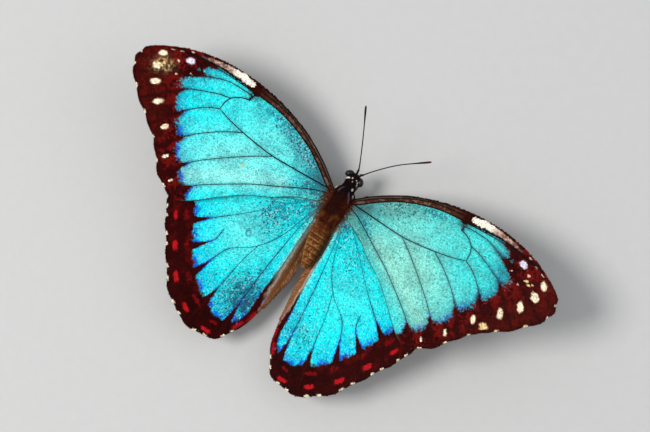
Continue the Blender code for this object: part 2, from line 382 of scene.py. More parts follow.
def add_node(tree, kind, **values):
    node = tree.nodes.new(kind)
    for key, value in values.items():
        if key in node.inputs:
            node.inputs[key].default_value = value
        else:
            setattr(node, key, value)
    return node


def add_range(tree, source, values, **settings):
    """A Map Range on a socket: values are From Min, From Max, To Min and To Max."""
    names = ("From Min", "From Max", "To Min", "To Max")
    made = add_node(tree, "ShaderNodeMapRange", **dict(zip(names, values)), **settings)
    tree.links.new(source, made.inputs["Value"])
    return made.outputs["Result"]


def new_material(name):
    """A material, its node tree and its shader."""
    material = bpy.data.materials.new(name)
    material.use_nodes = True
    return material, material.node_tree, material.node_tree.nodes["Principled BSDF"]


# Most of a noise or cell field lies between these.
FIELD_RANGE = (0.3, 0.7)


def finish(name, roughness, grain, grain_size, bump, bump_size, rough_spread=0.08,
           gloss=0.1, cells=False):
    """A material whose colour is the piece's tints, broken by grain, with relief to match."""
    material, tree, shader = new_material(name)
    link = tree.links.new
    tint = add_node(tree, "ShaderNodeAttribute", attribute_name="tint")
    place = add_node(tree, "ShaderNodeTexCoord")

    def field(size, detail):
        if cells:
            made = add_node(tree, "ShaderNodeTexVoronoi", Scale=1 / (size * MM))
            out = made.outputs["Distance"]
        else:
            made = add_node(tree, "ShaderNodeTexNoise", Scale=1 / (size * MM), Detail=detail)
            out = made.outputs["Fac"]
        link(place.outputs["Object"], made.inputs["Vector"])
        return out

    fine = field(grain_size, 3.0)
    shade = add_range(tree, fine, FIELD_RANGE + (1 - grain, 1 + grain))
    mixed = add_node(tree, "ShaderNodeVectorMath", operation="SCALE")
    link(tint.outputs["Color"], mixed.inputs[0])
    link(shade, mixed.inputs["Scale"])
    link(mixed.outputs["Vector"], shader.inputs["Base Color"])
    rough = FIELD_RANGE + (roughness - rough_spread, roughness + rough_spread)
    link(add_range(tree, fine, rough), shader.inputs["Roughness"])
    relief = add_node(tree, "ShaderNodeBump", Strength=bump, Distance=bump_size * MM)
    link(field(bump_size, 2.0), relief.inputs["Height"])
    link(relief.outputs["Normal"], shader.inputs["Normal"])
    shader.inputs["Specular IOR Level"].default_value = gloss
    return material


MEMBRANE = finish("wing_membrane", 0.5, 0.12, 0.35, 0.3, 0.2, gloss=0.03)
WING_SCALES = finish("wing_scales", 0.42, 0.2, 0.3, 0.25, 0.1, gloss=0.02)
UNDER_SCALES = finish("underside_scales", 0.6, 0.14, 0.4, 0.25, 0.1, gloss=0.08)
VEINS = finish("wing_veins", 0.5, 0.1, 0.4, 0.4, 0.12, gloss=0.06)
FRINGE = finish("wing_fringe", 0.6, 0.1, 0.3, 0.1, 0.1, gloss=0.05)
SKIN = finish("body_skin", 0.7, 0.2, 0.3, 0.5, 0.15, gloss=0.08)
FUR = finish("body_fur", 0.5, 0.14, 0.25, 0.1, 0.1, gloss=0.09)
CUTICLE = finish("leg_cuticle", 0.45, 0.15, 0.3, 0.3, 0.1, gloss=0.3)
FEELER = finish("feeler_cuticle", 0.5, 0.15, 0.2, 0.3, 0.08, gloss=0.12)
EYE = finish("compound_eye", 0.12, 0.25, 0.09, 0.16, 0.05, rough_spread=0.03, gloss=0.3,
             cells=True)


# Wings: the same outlines and surface as the solids.

SPAN_ARCH = 1.0
SPAN_LENGTH = 61.0
CHORD_DROOP = 0.0006
SCALLOP_DEPTH = 0.45
HINGE_HALF_WIDTH = 4.17
WINGS = {
    "forewing": {
        "hinge_height": 9.0,
        "dihedral": 11.4,
        "sweep": {"left": 0.0, "right": 1.3},
        "centre": (30.0, -3.0),
        "costa": [(-2.4, -0.9), (0.0, 1.0), (8.0, 6.2), (18.0, 10.1), (28.8, 12.1),
                  (39.5, 12.1), (48.8, 10.1), (56.0, 7.1)],
        "vein_ends": [(60.1, 4.3), (61.2, 0.9), (59.5, -3.1), (54.3, -8.3), (48.5, -12.7),
                      (43.6, -17.1), (39.3, -22.2), (33.4, -25.5)],
        "inner": [(28.9, -24.1), (22.6, -19.1), (17.0, -14.7), (10.8, -11.2), (5.0, -7.3),
                  (-2.4, -4.3)],
        "lie_from": (-4.0, -3.0),
        "root": (-2.4, -2.4),
        "wear": {"left": [], "right": [((47.6, -11.9), 1.1, 1.3)]},
    },
    "hindwing": {
        "hinge_height": 8.1,
        "dihedral": 8.8,
        "sweep": {"left": 0.0, "right": 2.4},
        "centre": (14.0, -27.0),
        "costa": [(-2.4, -3.4), (3.0, -4.3), (12.0, -6.3), (22.0, -10.5), (29.5, -16.5),
                  (33.2, -21.5)],
        "vein_ends": [(34.2, -25.8), (31.1, -31.8), (26.6, -38.5), (20.8, -46.1),
                      (12.4, -51.1), (3.6, -50.1), (-0.6, -44.0)],
        "inner": [(-2.4, -38.6), (-3.5, -31.8), (-3.9, -25.0), (-3.5, -18.5), (-2.9, -12.5),
                  (-2.4, -7.2)],
        "lie_from": (-1.0, -2.0),
        "root": (-2.4, -4.6),
        "wear": {"left": [((13.6, -49.6), 0.9, 1.2)], "right": []},
    },
}
FOLD_LINE = -0.2
FOLD_WIDTH = 3.6
FOLD_DEPTH = 3.2
FOLD_RISE = (-5.0, -14.0)
FOLD_FADE = (-24.0, -46.0)
FOLD_FADE_SHARE = 0.6

OUTLINE_STEPS = 8
MEMBRANE_RINGS = 60
MEMBRANE_HALF = 0.05
EDGE_INSET = 0.45
FRINGE_INSET = EDGE_INSET + 0.1


def wing_height(kind, out, forward):
    height = (SPAN_ARCH * np.sin(np.pi * np.clip(out / SPAN_LENGTH, 0, 1))
              - CHORD_DROOP * forward ** 2)
    if kind == "forewing":
        return height
    across = np.clip((FOLD_LINE - out) / FOLD_WIDTH, 0, 1)
    along = fade(forward, *FOLD_RISE) * (1 - FOLD_FADE_SHARE * fade(forward, *FOLD_FADE))
    return height - FOLD_DEPTH * along * np.sin(0.5 * np.pi * across) ** 2


def on_wing(kind, side, at, lift=0.0):
    """Places on a wing, from its own outward and forward coordinates, in millimetres."""
    shape, sign = WINGS[kind], SIDES[side]
    out, forward = at[:, 0], at[:, 1]
    local = np.stack([sign * out, -forward, wing_height(kind, out, forward) + lift], axis=1)
    turned = turn_about("Y", -sign * shape["dihedral"]) @ turn_about("Z", shape["sweep"][side])
    return local @ turned.T + (sign * HINGE_HALF_WIDTH, 0.0, shape["hinge_height"])


def wing_outline(kind, side, inset=0.0):
    """The wing's closed outline, and where its outer margin starts and ends in it."""
    shape = WINGS[kind]
    points = spline(shape["costa"] + shape["vein_ends"] + shape["inner"], OUTLINE_STEPS)
    first = len(shape["costa"]) * OUTLINE_STEPS
    last = first + (len(shape["vein_ends"]) - 1) * OUTLINE_STEPS
    inward = unit(np.array(shape["centre"]) - points)
    # The front edge has no fringe, so the sheet runs nearly to it.
    ahead = first - np.arange(len(points))
    depth = inset * (1 - 0.75 * fade(ahead, 4, 16))
    steps = np.arange(first, last)
    depth[steps] += SCALLOP_DEPTH * np.sin(np.pi * ((steps - first) % OUTLINE_STEPS)
                                           / OUTLINE_STEPS) ** 2
    for centre, bite, width in shape["wear"][side]:
        depth += bite * hump(far(points, centre), width)
    return points + inward * depth[:, None], first, last


# The hind edge of the brown strip along the forewing's front. A vein runs in it.
COSTAL_STRIP = [(-3.4, -2.2), (-2.2, -1.8), (-0.6, -1.3), (1.6, -0.1), (4.0, 1.6), (6.3, 3.1),
                (9.5, 5.0), (12.1, 6.1), (14.8, 7.1), (17.5, 7.9), (20.4, 8.6), (24.0, 9.1),
                (28.9, 9.3), (36.0, 9.7), (43.0, 9.9)]
# Veins in wing coordinates, from the root outwards: the path and the radius at each end.
VEINS_OF = {
    "forewing": [
        (COSTAL_STRIP[1:13], .24, .2),
        ([(-1.6, -0.9), (0.3, -1.0), (8.0, -1.5), (16.0, -1.9), (21.0, -1.6), (26.0, -1.0),
          (31.0, -0.1), (34.7, 1.0)], .24, .15),
        ([(34.7, 1.0), (34.5, 3.2), (33.6, 5.0), (31.6, 6.4), (29.6, 7.2), (28.9, 9.3)],
         .15, .2),
        ([(28.9, 9.3), (33.0, 9.4), (38.2, 9.5), (43.4, 9.3), (47.2, 9.4), (53.0, 8.2)],
         .18, .12),
        ([(29.3, 8.3), (33.0, 8.4), (37.3, 8.0), (42.6, 6.0), (46.0, 4.4), (53.0, 0.8),
          (59.5, -3.1)], .15, .12),
        ([(33.8, 4.8), (37.0, 4.0), (40.3, 2.7), (44.4, 0.8), (46.5, -1.1), (50.5, -4.8),
          (54.3, -8.3)], .15, .12),
        ([(34.7, 1.0), (38.1, -0.8), (41.3, -3.6), (42.9, -5.9), (45.6, -9.2),
          (48.5, -12.7)], .15, .12),
        ([(26.2, -1.0), (29.6, -2.9), (33.1, -5.3), (36.8, -8.4), (40.0, -12.0),
          (43.6, -17.1)], .15, .12),
        ([(16.4, -1.9), (21.0, -4.9), (26.2, -8.7), (31.8, -13.2), (34.6, -16.2),
          (39.3, -22.2)], .15, .12),
        ([(-1.4, -1.8), (3.0, -3.4), (7.4, -5.7), (12.1, -8.3), (17.3, -11.1),
          (25.6, -16.6), (30.1, -20.2), (33.4, -25.5)], .18, .12),
        ([(-2.0, -1.1), (0.5, 0.4), (2.2, 1.6), (4.3, 3.0), (6.5, 4.3), (9.1, 5.7),
          (13.0, 7.6), (18.0, 9.3), (24.0, 10.3), (30.0, 10.7)], .2, .12),
        ([(-1.8, -0.7), (0.1, 0.8), (4.0, 3.6), (8.1, 5.95), (13.0, 8.3), (18.0, 9.8),
          (23.5, 11.1), (28.8, 11.8)], .2, .13),
    ],
    "hindwing": [
        ([(-1.4, -4.2), (4.0, -7.2), (11.0, -10.4), (18.5, -14.0), (26.5, -19.8),
          (34.2, -25.8)], .18, .11),
        ([(2.6, -6.4), (8.0, -11.5), (13.5, -17.0), (18.4, -21.4), (24.4, -26.4),
          (31.1, -31.8)], .15, .11),
        ([(17.0, -24.6), (17.6, -28.2), (20.5, -31.6), (23.6, -34.9), (26.6, -38.5)], .13, .11),
        ([(-1.0, -5.6), (1.2, -11.0), (3.6, -18.0), (7.7, -23.9), (13.4, -28.4),
          (16.2, -35.0), (18.4, -40.6), (20.8, -46.1)], .16, .11),
        ([(7.2, -23.2), (8.8, -29.6), (9.7, -36.0), (11.0, -43.4), (12.4, -51.1)], .13, .11),
        ([(-1.0, -6.0), (0.6, -12.0), (1.7, -20.0), (2.6, -29.0), (3.1, -37.0),
          (3.6, -50.1)], .15, .11),
        ([(-1.2, -6.6), (-0.9, -15.0), (-0.8, -26.0), (-0.6, -36.0), (-0.6, -44.0)], .14, .1),
    ],
}
VEIN_STEPS = 6
VEIN_SIDES = 8
VEIN_FLAT = 0.65
# How far a ridge's middle is from the membrane's, above and below.
VEIN_LIFTS = {1: 0.06, -1: 0.04}

# Where the blue ends, from the front edge round to the hind one.
BLUE_EDGE = {
    "forewing": [(42.0, 10.6), (42.4, 8.6), (43.0, 6.8), (44.6, 4.8), (46.0, 3.0), (46.4, 0.8),
                 (45.9, -1.2), (44.4, -3.6), (43.0, -5.4), (41.6, -7.4), (40.0, -9.3),
                 (38.9, -11.4), (37.9, -13.6), (36.2, -15.4), (34.9, -16.8), (34.1, -18.4),
                 (32.2, -19.8), (30.2, -21.1), (28.4, -23.6), (27.0, -25.0)],
    "hindwing": [(29.0, -17.0), (26.9, -21.0), (24.7, -25.4), (22.6, -29.0), (21.0, -31.6),
                 (18.9, -34.8), (17.0, -37.2), (14.6, -39.4), (12.0, -41.0), (9.4, -42.2),
                 (6.4, -43.8), (3.6, -43.4), (1.6, -41.9), (-0.2, -39.0), (-1.0, -36.0),
                 (-1.6, -31.7), (-2.4, -26.0)],
}
# Corners that close the blue's edge into a ring round the wing beyond it.
DARK_CORNERS = {"forewing": [(30, -40), (75, -30), (75, 20), (43.5, 20)],
                "hindwing": [(-30, -26), (-30, -70), (60, -70), (60, -17)]}
# How far the dark runs in along a vein, how wide, and the share that evens it between veins.
WEDGE = {"forewing": (2.2, 0.7, 0.25), "hindwing": (4.2, 0.65, 0.2)}


# The white ticks in the fringe, by their share of the way from one vein's end to the next.
TICK_PLACES = {"forewing": ((0.5, 0.08),), "hindwing": ((0.33, 0.065), (0.67, 0.065))}


def tick_share(kind, phase):
    share = phase - np.floor(phase)
    white = sum(hump(share - middle, half) for middle, half in TICK_PLACES[kind])
    return fade(white, 0.3, 0.6) * (phase > 0.02) * (phase < len(WINGS[kind]["vein_ends"]) - 1.02)


class Ground:
    """What the markings measure at places on one wing."""

    def __init__(self, kind, side, at):
        self.kind, self.side, self.at = kind, side, at
        outline, first, last = wing_outline(kind, side)
        margin = outline[first:last + 1]
        self.margin, along = reach(at, margin)
        gone = gone_along(margin)
        self.phase = np.interp(along * gone[-1], gone, np.arange(len(margin))) / OUTLINE_STEPS
        self.edge = reach(at, np.vstack([outline, outline[:1]]))[0]
        self.vein = np.full(len(at), 9.0)
        for path, _, _ in VEINS_OF[kind]:
            self.vein = np.minimum(self.vein, reach(at, spline(path, VEIN_STEPS))[0])
        line = spline(BLUE_EDGE[kind], VEIN_STEPS)
        distance = reach(at, line)[0]
        beyond = inside(at, np.vstack([line, DARK_CORNERS[kind]]))
        depth, width, even = WEDGE[kind]
        run_in = depth * (hump(self.vein, width) - even)
        ragged = 0.7 * (mottle(at, 0.9, 11) - 0.5) + 0.7 * (mottle(at, 0.45, 12) - 0.5)
        self.into_dark = np.where(beyond, distance, -distance) + run_in + ragged
        self.tick = tick_share(kind, self.phase)

    def spots(self, tint, places, colour, grain=0.35):
        """Oval spots: each has its centre, half length, half width and turn in degrees."""
        rough = grain * (mottle(self.at, 0.6, 21) - 0.5)
        for place in places:
            tint = lay(tint, colour, fade(oval(self.at, *place) + rough, 1.15, 0.75))
        return tint

    def patch(self, tint, colour, centre, radii, share, turn=0.0, speck=0.0, seed=31):
        """A soft patch, broken into specks where speck is above 0."""
        amount = share * hump(oval(self.at, centre, *radii, turn), 1.0)
        if speck:
            grain = 0.5 * mottle(self.at, 0.8, seed) + 0.5 * mottle(self.at, 0.27, seed + 100)
            amount = amount * (1 - speck + 2.2 * speck * fade(grain, 0.35, 0.75))
        return lay(tint, colour, amount)

    def patch_each(self, tint, table):
        """A soft patch for each row of a table, with the share for this wing's side."""
        for colour, centre, radii, shares, *rest in table:
            tint = self.patch(tint, colour, centre, radii, shares[self.side == "right"], *rest)
        return tint


# Soft patches: colour, centre, radii, share on the left wing and on the right, turn in
# degrees, how far it breaks into specks, and their seed.
FOREWING_ROOT_PATCHES = [(SLATE, (12.6, 3.6), (4.5, 1.7), (0.3, 0.2), 24, 0.3, 41),
                         (SLATE, (3.5, -0.4), (5.5, 2.2), (0.4, 0.4), 30, 0.3, 42),
                         (VEIN_DARK, (1.5, -1.0), (4.2, 2.6), (0.3, 0.3), 10, 0.5, 54),
                         (COSTA_BROWN, (2.0, -0.8), (4.0, 1.5), (0.35, 0.35), 28, 0.3, 55)]
FOREWING_EDGE_PATCHES = [(SLATE, (6.0, -4.6), (7.0, 1.4), (0.5, 0.5), -28, 0.8, 43),
                         (SLATE, (20.5, 7.2), (9.0, 1.2), (0.45, 0.45), 8, 0.8, 44)]
# The first row is painted sheen: a paler cyan patch over the hindwing's middle.
HINDWING_PATCHES = [(CYAN_PALE, (12, -22), (7, 7), (0.3, 0.1)),
                    (SLATE, (2.6, -37), (4.4, 5.0), (0.6, 0.12)),
                    (SLATE, (7, -14), (7, 5), (0.2, 0.08), -40),
                    (SLATE, (3.0, -37.0), (5.0, 6.0), (0.85, 0.15), -20, 0.7, 61),
                    (SLATE, (6.5, -13), (5.5, 3.5), (0.4, 0.2), -40, 0.8, 62),
                    (SLATE, (0.5, -7.5), (2.5, 4.0), (0.6, 0.6), 0, 0.8, 63)]
# Spots, specks and crescents: centre, half length, half width and turn in degrees.
FOREWING_SPOTS = [((55.2, 5.2), 1.2, 0.78, -28), ((52.8, -2.1), 1.45, 0.78, -35),
                  ((49.3, -6.1), 1.4, 0.76, -38), ((44.2, -10.7), 1.05, 0.64, -42),
                  ((39.8, -17.0), 0.85, 0.45, -45), ((35.3, -21.6), 0.65, 0.35, -45)]
APEX_SPECKS = [((48.6, 9.5), 0.75, 0.28, -14), ((51.2, 8.3), 0.6, 0.22, -24),
               ((53.4, 7.3), 0.45, 0.2, -30), ((46.0, 4.4), 0.3, 0.22, 0),
               ((50.6, 5.6), 0.35, 0.25, -20), ((49.2, 2.4), 0.3, 0.2, -30)]
# The apex's larger spots: colour, how ragged, and places.
APEX_SPOTS = {"left": [(CREAM, 0.9, [((54.9, 1.5), 1.2, 0.8, -35)]),
                       (LILAC_WHITE, 0.35, [((47.9, 7.3), 1.2, 0.8, -25)])],
              "right": [(CREAM, 0.35, [((54.8, 1.7), 1.5, 0.95, -48)]),
                        (GOLD, 1.2, [((50.9, 4.1), 0.55, 0.3, 20), ((51.9, 3.5), 0.6, 0.35, 0),
                                     ((52.6, 4.0), 0.35, 0.25, 0)]),
                        (GOLD, 0.9, [((47.3, -10.9), 1.0, 0.8, 20)]),
                        (LILAC_WHITE, 0.35, [((47.9, 7.3), 1.2, 0.8, -25)])]}
SPOT_LEAN = {"left": 0, "right": -22}
LUNULES = [((29.7, -28.3), 1.25, 0.55, 62), ((25.4, -35.1), 1.5, 0.7, 55),
           ((20.8, -41.7), 1.5, 0.7, 50), ((14.6, -46.9), 1.45, 0.6, 25),
           ((6.8, -49.1), 1.5, 0.55, 2)]
INNER_LUNULES = [((27.0, -27.2), 1.3, 0.7, 62), ((22.8, -33.4), 1.5, 0.75, 55),
                 ((18.2, -39.6), 1.5, 0.75, 48), ((12.9, -44.0), 1.4, 0.6, 25),
                 ((6.4, -46.4), 1.4, 0.5, 2)]
ANAL_STREAK = [(0.9, -44.6), (-0.6, -41.6), (-1.6, -38.6), (-2.3, -35.4), (-2.7, -32.8)]
COSTAL_STREAK = [(30.9, 10.9), (34.0, 11.2), (38.0, 11.1), (42.0, 10.6), (46.5, 9.8)]
STREAK_WIDTHS = [(30.0, 0.7), (33.5, 0.95), (37.0, 0.75), (41.0, 0.5), (47.0, 0.25)]
STREAK_VEIN = [(28.9, 9.3), (34.0, 9.8), (40.0, 10.0), (46.0, 9.3), (53.0, 8.2)]
COSTAL_PALE = [(-1.5, -0.5), (1.0, 1.3), (3.8, 3.1), (7.0, 5.2), (11.0, 7.1), (16.0, 8.9)]
HIND_HAZE = [(-1.0, -3.2), (5.0, -6.2), (12.0, -10.4)]
# Where the painted sheen's paler band runs along the forewing's hind part.
SHEEN_BAND = [(11.0, -6.4), (17.0, -9.4), (24.0, -13.0), (33.0, -18.5)]


def in_costal_strip(at):
    """Whether each place is in the brown strip along the forewing's front edge."""
    return inside(at, np.vstack([spline(COSTAL_STRIP, VEIN_STEPS), [(43, 30), (-9, 30)]]))


def root_tint(ground, tint):
    """The wing's root is brown and downy like the thorax."""
    root = np.array(WINGS[ground.kind]["root"])
    away = np.linalg.norm((ground.at - root) * (1.0, 0.75), axis=1)
    rough = 1.4 * (mottle(ground.at, 0.5, 91) - 0.5)
    return lay(tint, THORAX_BROWN, 0.9 * fade(away + rough, 2.7, 1.6))


def forewing_top(ground):
    at, side = ground.at, ground.side
    out = at[:, 0]
    tint = plain(CYAN, at)
    tint = lay(tint, CYAN_DEEP, 0.5 * fade(-ground.into_dark, 6.0, 0.5))
    right = side == "right"
    # Painted sheen: the right forewing is laid over with teal, as its blue looks where the light
    # strikes it at another angle.
    tint = lay(tint, SHEEN_TEAL, 0.65 if right else 0.0)
    # Painted sheen: a paler mid-zone and a paler band along the forewing's hind part, mint on the
    # right wing and pale cyan on the left, with a faint mint patch further forward.
    pale = SHEEN_MINT if right else CYAN_PALE
    tint = ground.patch(tint, pale, (24, -7), (15, 7), 0.75 if right else 0.55, -28)
    tint = lay(tint, pale, 0.7 * hump(reach(at, SHEEN_BAND)[0], 2.6))
    tint = ground.patch(tint, SHEEN_MINT, (20, 3.5), (14, 4), 0.2, 8)
    haze = SAGE if right else SLATE
    tint = ground.patch(tint, haze, (10.5, 3.0), (9.0, 2.8), 0.5 if right else 0.32, 26)
    tint = ground.patch(tint, haze, (3.0, -1.5), (5.0, 4.0), 0.5, 0)
    tint = ground.patch_each(tint, FOREWING_ROOT_PATCHES)
    tint = lay(tint, SAGE, (0.7 if right else 0.35) * hump(reach(at, HIND_HAZE)[0], 1.3)
               * fade(out, 17, 5))
    tint = ground.patch_each(tint, FOREWING_EDGE_PATCHES)
    tint = lay(tint, haze, 0.25 * patches(at, 2.6, 145, 0.45, 0.8))
    tint = lay(tint, SLATE, 0.3 * patches(at, 0.7, 45, 0.72, 0.95))
    tint = lay(tint, VEIN_TEAL, 0.45 * hump(ground.vein, 0.45))
    tip = fade(out, 28, 41)
    tint = lay(tint, SLATE, (0.6 if right else 0.5) * fade(-ground.into_dark, 3.4, 0.2) * tip)
    tint = ground.patch(tint, SLATE, (44.5, 1.5), (3.6, 2.6), 0.6 if right else 0.3, -40, 0.5, 56)
    # The dark border, with a royal blue line where the blue gives out.
    band = hump(ground.into_dark + 0.25, 0.7) * patches(at, 1.6, 46, 0.2, 0.7)
    tint = lay(tint, ROYAL, (0.55 if right else 0.95) * band * fade(at[:, 1], 3.0, -13.0))
    strayed = 1.5 * (mottle(at, 0.3, 148) - 0.5) * (0.3 + 0.7 * tip)
    dark = fade(ground.into_dark + strayed, -0.5, 0.6)
    border = plain(BORDER, at)
    streaks = 0.5 * mottle(at, 1.8, 47) + 0.5 * mottle(at, 0.5, 147)
    border = lay(border, BORDER_RED, fade(streaks, 0.42, 0.68))
    border = lay(border, APEX_BROWN, 0.6 * fade(out - at[:, 1] * 0.5, 46, 54))
    border = lay(border, BORDER, 0.8 * hump(ground.vein, 0.5))
    border = lay(border, BORDER, 0.8 * hump(ground.margin - 0.3, 0.8))
    border = ground.spots(border, APEX_SPECKS, COSTAL_PINK, 1.1)
    lean = SPOT_LEAN[side]
    border = ground.spots(border, [(place, long, short, turn + lean)
                                   for place, long, short, turn in FOREWING_SPOTS], CREAM)
    if not right:
        border = ground.patch(border, GOLD, (53.5, 2.6), (2.1, 1.4), 0.75, -35, 0.9, 50)
    for colour, grain, places in APEX_SPOTS[side]:
        border = ground.spots(border, places, colour, grain)
    tint = tint * (1 - dark[:, None]) + border * dark[:, None]
    # The brown strip along the front edge, the blot at the cell's end and the white streak.
    above = in_costal_strip(at)
    strip = plain(COSTA_BROWN, at)
    strip = lay(strip, COSTA_PALE, 0.5 * patches(at, 0.7, 51, 0.5, 0.85))
    strip = lay(strip, COSTA_PALE, 0.85 * hump(reach(at, COSTAL_PALE)[0], 0.36) * fade(out, 18, 8))
    strip = lay(strip, STRIP_DARK, 0.9 * hump(ground.edge - 0.2, 0.3))
    strip = lay(strip, STRIP_DARK, 0.9 * hump(ground.vein, 0.28))
    strip = lay(strip, APEX_BROWN * 0.4, fade(out, 25.5, 28.5))
    tint = np.where(above[:, None], strip, tint)
    tint = ground.patch(tint, APEX_BROWN * 0.6, (29.2, 9.0), (2.3, 1.5), 0.7, 0, 0.4, 57)
    tint = ground.spots(tint, [((29.0, 9.3), 1.5, 0.7, 0), ((29.5, 7.8), 0.5, 0.8, 0)],
                        APEX_BROWN * 0.4, 1.0)
    half = np.interp(out, *np.transpose(STREAK_WIDTHS))
    streak = fade(reach(at, spline(COSTAL_STREAK, VEIN_STEPS))[0] / half
                  + 0.5 * (mottle(at, 0.5, 53) - 0.5), 1.15, 0.75)
    mottled = patches(at, 0.55, 52, 0.35, 0.6)
    tint = lay(tint, COSTAL_PINK, streak * (0.25 + 0.6 * mottled) * fade(out, 47.0, 41.0))
    tint = lay(tint, STREAK_WHITE, streak * fade(out, 38.5, 35.5))
    tint = lay(tint, STRIP_DARK, 0.9 * hump(reach(at, spline(STREAK_VEIN, VEIN_STEPS))[0], 0.26))
    if not right:
        tint = ground.spots(tint, [((21.8, -8.3), 0.4, 0.3, 0)], GOLD, 0.5)
    tint = lay(tint, (CREAM + GOLD) / 2 if right else CREAM,
               0.9 * ground.tick * fade(ground.margin, 0.6, 0.4))
    return root_tint(ground, tint)


def hindwing_top(ground):
    at = ground.at
    out, forward = at.T
    left = ground.side == "left"
    tint = plain(CYAN, at)
    tint = lay(tint, CYAN_DEEP, 0.75 * fade(-ground.into_dark, 8.0, 0.5))
    tint = ground.patch_each(tint, HINDWING_PATCHES)
    if left:
        ring = np.abs(far(at, (11.1, -22.0)) - 0.6)
        tint = lay(tint, SLATE, 0.8 * hump(ring, 0.25))
    tint = lay(tint, SLATE, 0.2 * patches(at, 2.6, 165, 0.45, 0.8))
    tint = lay(tint, SLATE, 0.3 * patches(at, 0.7, 65, 0.72, 0.95))
    outer = fade(-ground.into_dark, 9.0, 2.0)
    tint = lay(tint, SLATE, 0.45 * hump(ground.vein, 0.4) * (0.35 + 0.65 * outer))
    # What the forewing covers is plain and pale.
    tint = lay(tint, UNDER_CREAM * 0.8, 0.9 * fade(forward + 0.32 * out, -6.5, -4.0))
    band = hump(ground.into_dark + 0.3, 0.8) * patches(at, 1.6, 66, 0.1, 0.6)
    tint = lay(tint, ROYAL, 0.9 * band * fade(forward - 0.6 * out, -28.0, -34.0))
    dark = fade(ground.into_dark, -0.35, 0.5)
    border = plain(BORDER, at)
    streaks = 0.75 * mottle(at, 1.8, 69) + 0.25 * mottle(at, 0.5, 169)
    border = lay(border, BORDER_RED, 0.35 * fade(streaks, 0.45, 0.8))
    border = lay(border, BORDER * 0.5, 0.7 * fade(forward, -38.0, -46.0))
    border = ground.spots(border, INNER_LUNULES, CRIMSON_DULL, 1.2)
    border = ground.spots(border, LUNULES, CRIMSON, 0.5)
    border = lay(border, CRIMSON, 0.9 * hump(reach(at, ANAL_STREAK)[0], 0.5)
                 * patches(at, 1.3, 67, 0.15, 0.45))
    border = lay(border, BORDER, 0.7 * hump(ground.vein, 0.45))
    border = lay(border, BORDER * 0.6, 0.9 * hump(ground.margin - 0.2, 0.55))
    tint = tint * (1 - dark[:, None]) + border * dark[:, None]
    # The brown fold beside the abdomen, with its pale edge.
    line = -1.2 + 0.5 * (mottle(at, 1.1, 68) - 0.5)
    fold = fade(out, line, line - 0.7) * fade(forward, -36.0, -32.5)
    tint = lay(tint, CYAN_PALE, 0.6 * hump(out - line - 0.5, 0.5) * fade(forward, -30, -24))
    # The fold's brown is laid lighter than its own: painted light against the shade where the fold
    # dips.
    tint = lay(tint, FOLD_BROWN_LIT, fold)
    tint = lay(tint, FOLD_PALE, 0.85 * hump(out - line + 0.15, 0.34) * fade(forward, -35.0, -30.0))
    tint = lay(tint, FOLD_TAN, 0.8 * fold * hump(ground.edge - 0.2, 0.5))
    tint = lay(tint, CREAM, 0.9 * ground.tick * fade(ground.margin, 0.75, 0.5))
    return root_tint(ground, tint)


# The underside: pale bars by distance from the root; lines by how far in from the margin,
# with width, colour and share; eyespots, and their rings' sizes and colours from outside in.
UNDER_BARS = {"forewing": (17.0, 27.5), "hindwing": (12.0, 22.0)}
UNDER_LINES = [(1.4, 0.32, UNDER_CREAM, 0.8), (2.3, 0.4, UNDER_ORANGE, 0.75),
               (3.4, 0.3, UNDER_CREAM, 0.5)]
EYESPOTS = {"forewing": [((43.5, 3.6), 1.0), ((42.3, -3.6), 1.35), ((34.5, -11.6), 1.6)],
            "hindwing": [((19.5, -14.6), 1.9), ((20.2, -27.6), 1.5), ((15.6, -33.6), 1.6),
                         ((9.4, -37.2), 1.7)]}
EYESPOT_RINGS = [(1.75, UNDER_DARK), (1.5, EYESPOT_YELLOW), (1.1, EYESPOT_BLACK),
                 (0.55, UNDER_ORANGE * 0.5), (0.22, CREAM)]


def underside(ground):
    """The brown underside, with its ringed eyespots, pale bars and pale lines."""
    at = ground.at
    distance = far(at, WINGS[ground.kind]["lie_from"])
    tint = plain(UNDER_BROWN, at)
    tint = lay(tint, UNDER_DARK, 0.7 * patches(at, 3.0, 71, 0.35, 0.75))
    tint = lay(tint, UNDER_CREAM, 0.22 * patches(at, 0.8, 72, 0.6, 0.9))
    for bar in UNDER_BARS[ground.kind]:
        wavy = bar + 1.6 * (mottle(at, 5.0, 73) - 0.5)
        tint = lay(tint, UNDER_CREAM, 0.75 * hump(distance - wavy, 0.7))
    if ground.kind == "forewing":
        tint = lay(tint, UNDER_CREAM, 0.5 * fade(at[:, 1] + 0.55 * at[:, 0], 0.5, -4.0))
    for inset, width, colour, share in UNDER_LINES:
        tint = lay(tint, colour, share * hump(ground.margin - inset, width))
    for centre, size in EYESPOTS[ground.kind]:
        away = far(at, centre) / size
        for radius, colour in EYESPOT_RINGS:
            tint = lay(tint, colour, fade(away, radius + 0.08, radius - 0.08))
    return lay(tint, UNDER_DARK, 0.6 * hump(ground.vein, 0.35))


def wing_tint(ground, top):
    if not top:
        return underside(ground)
    return forewing_top(ground) if ground.kind == "forewing" else hindwing_top(ground)


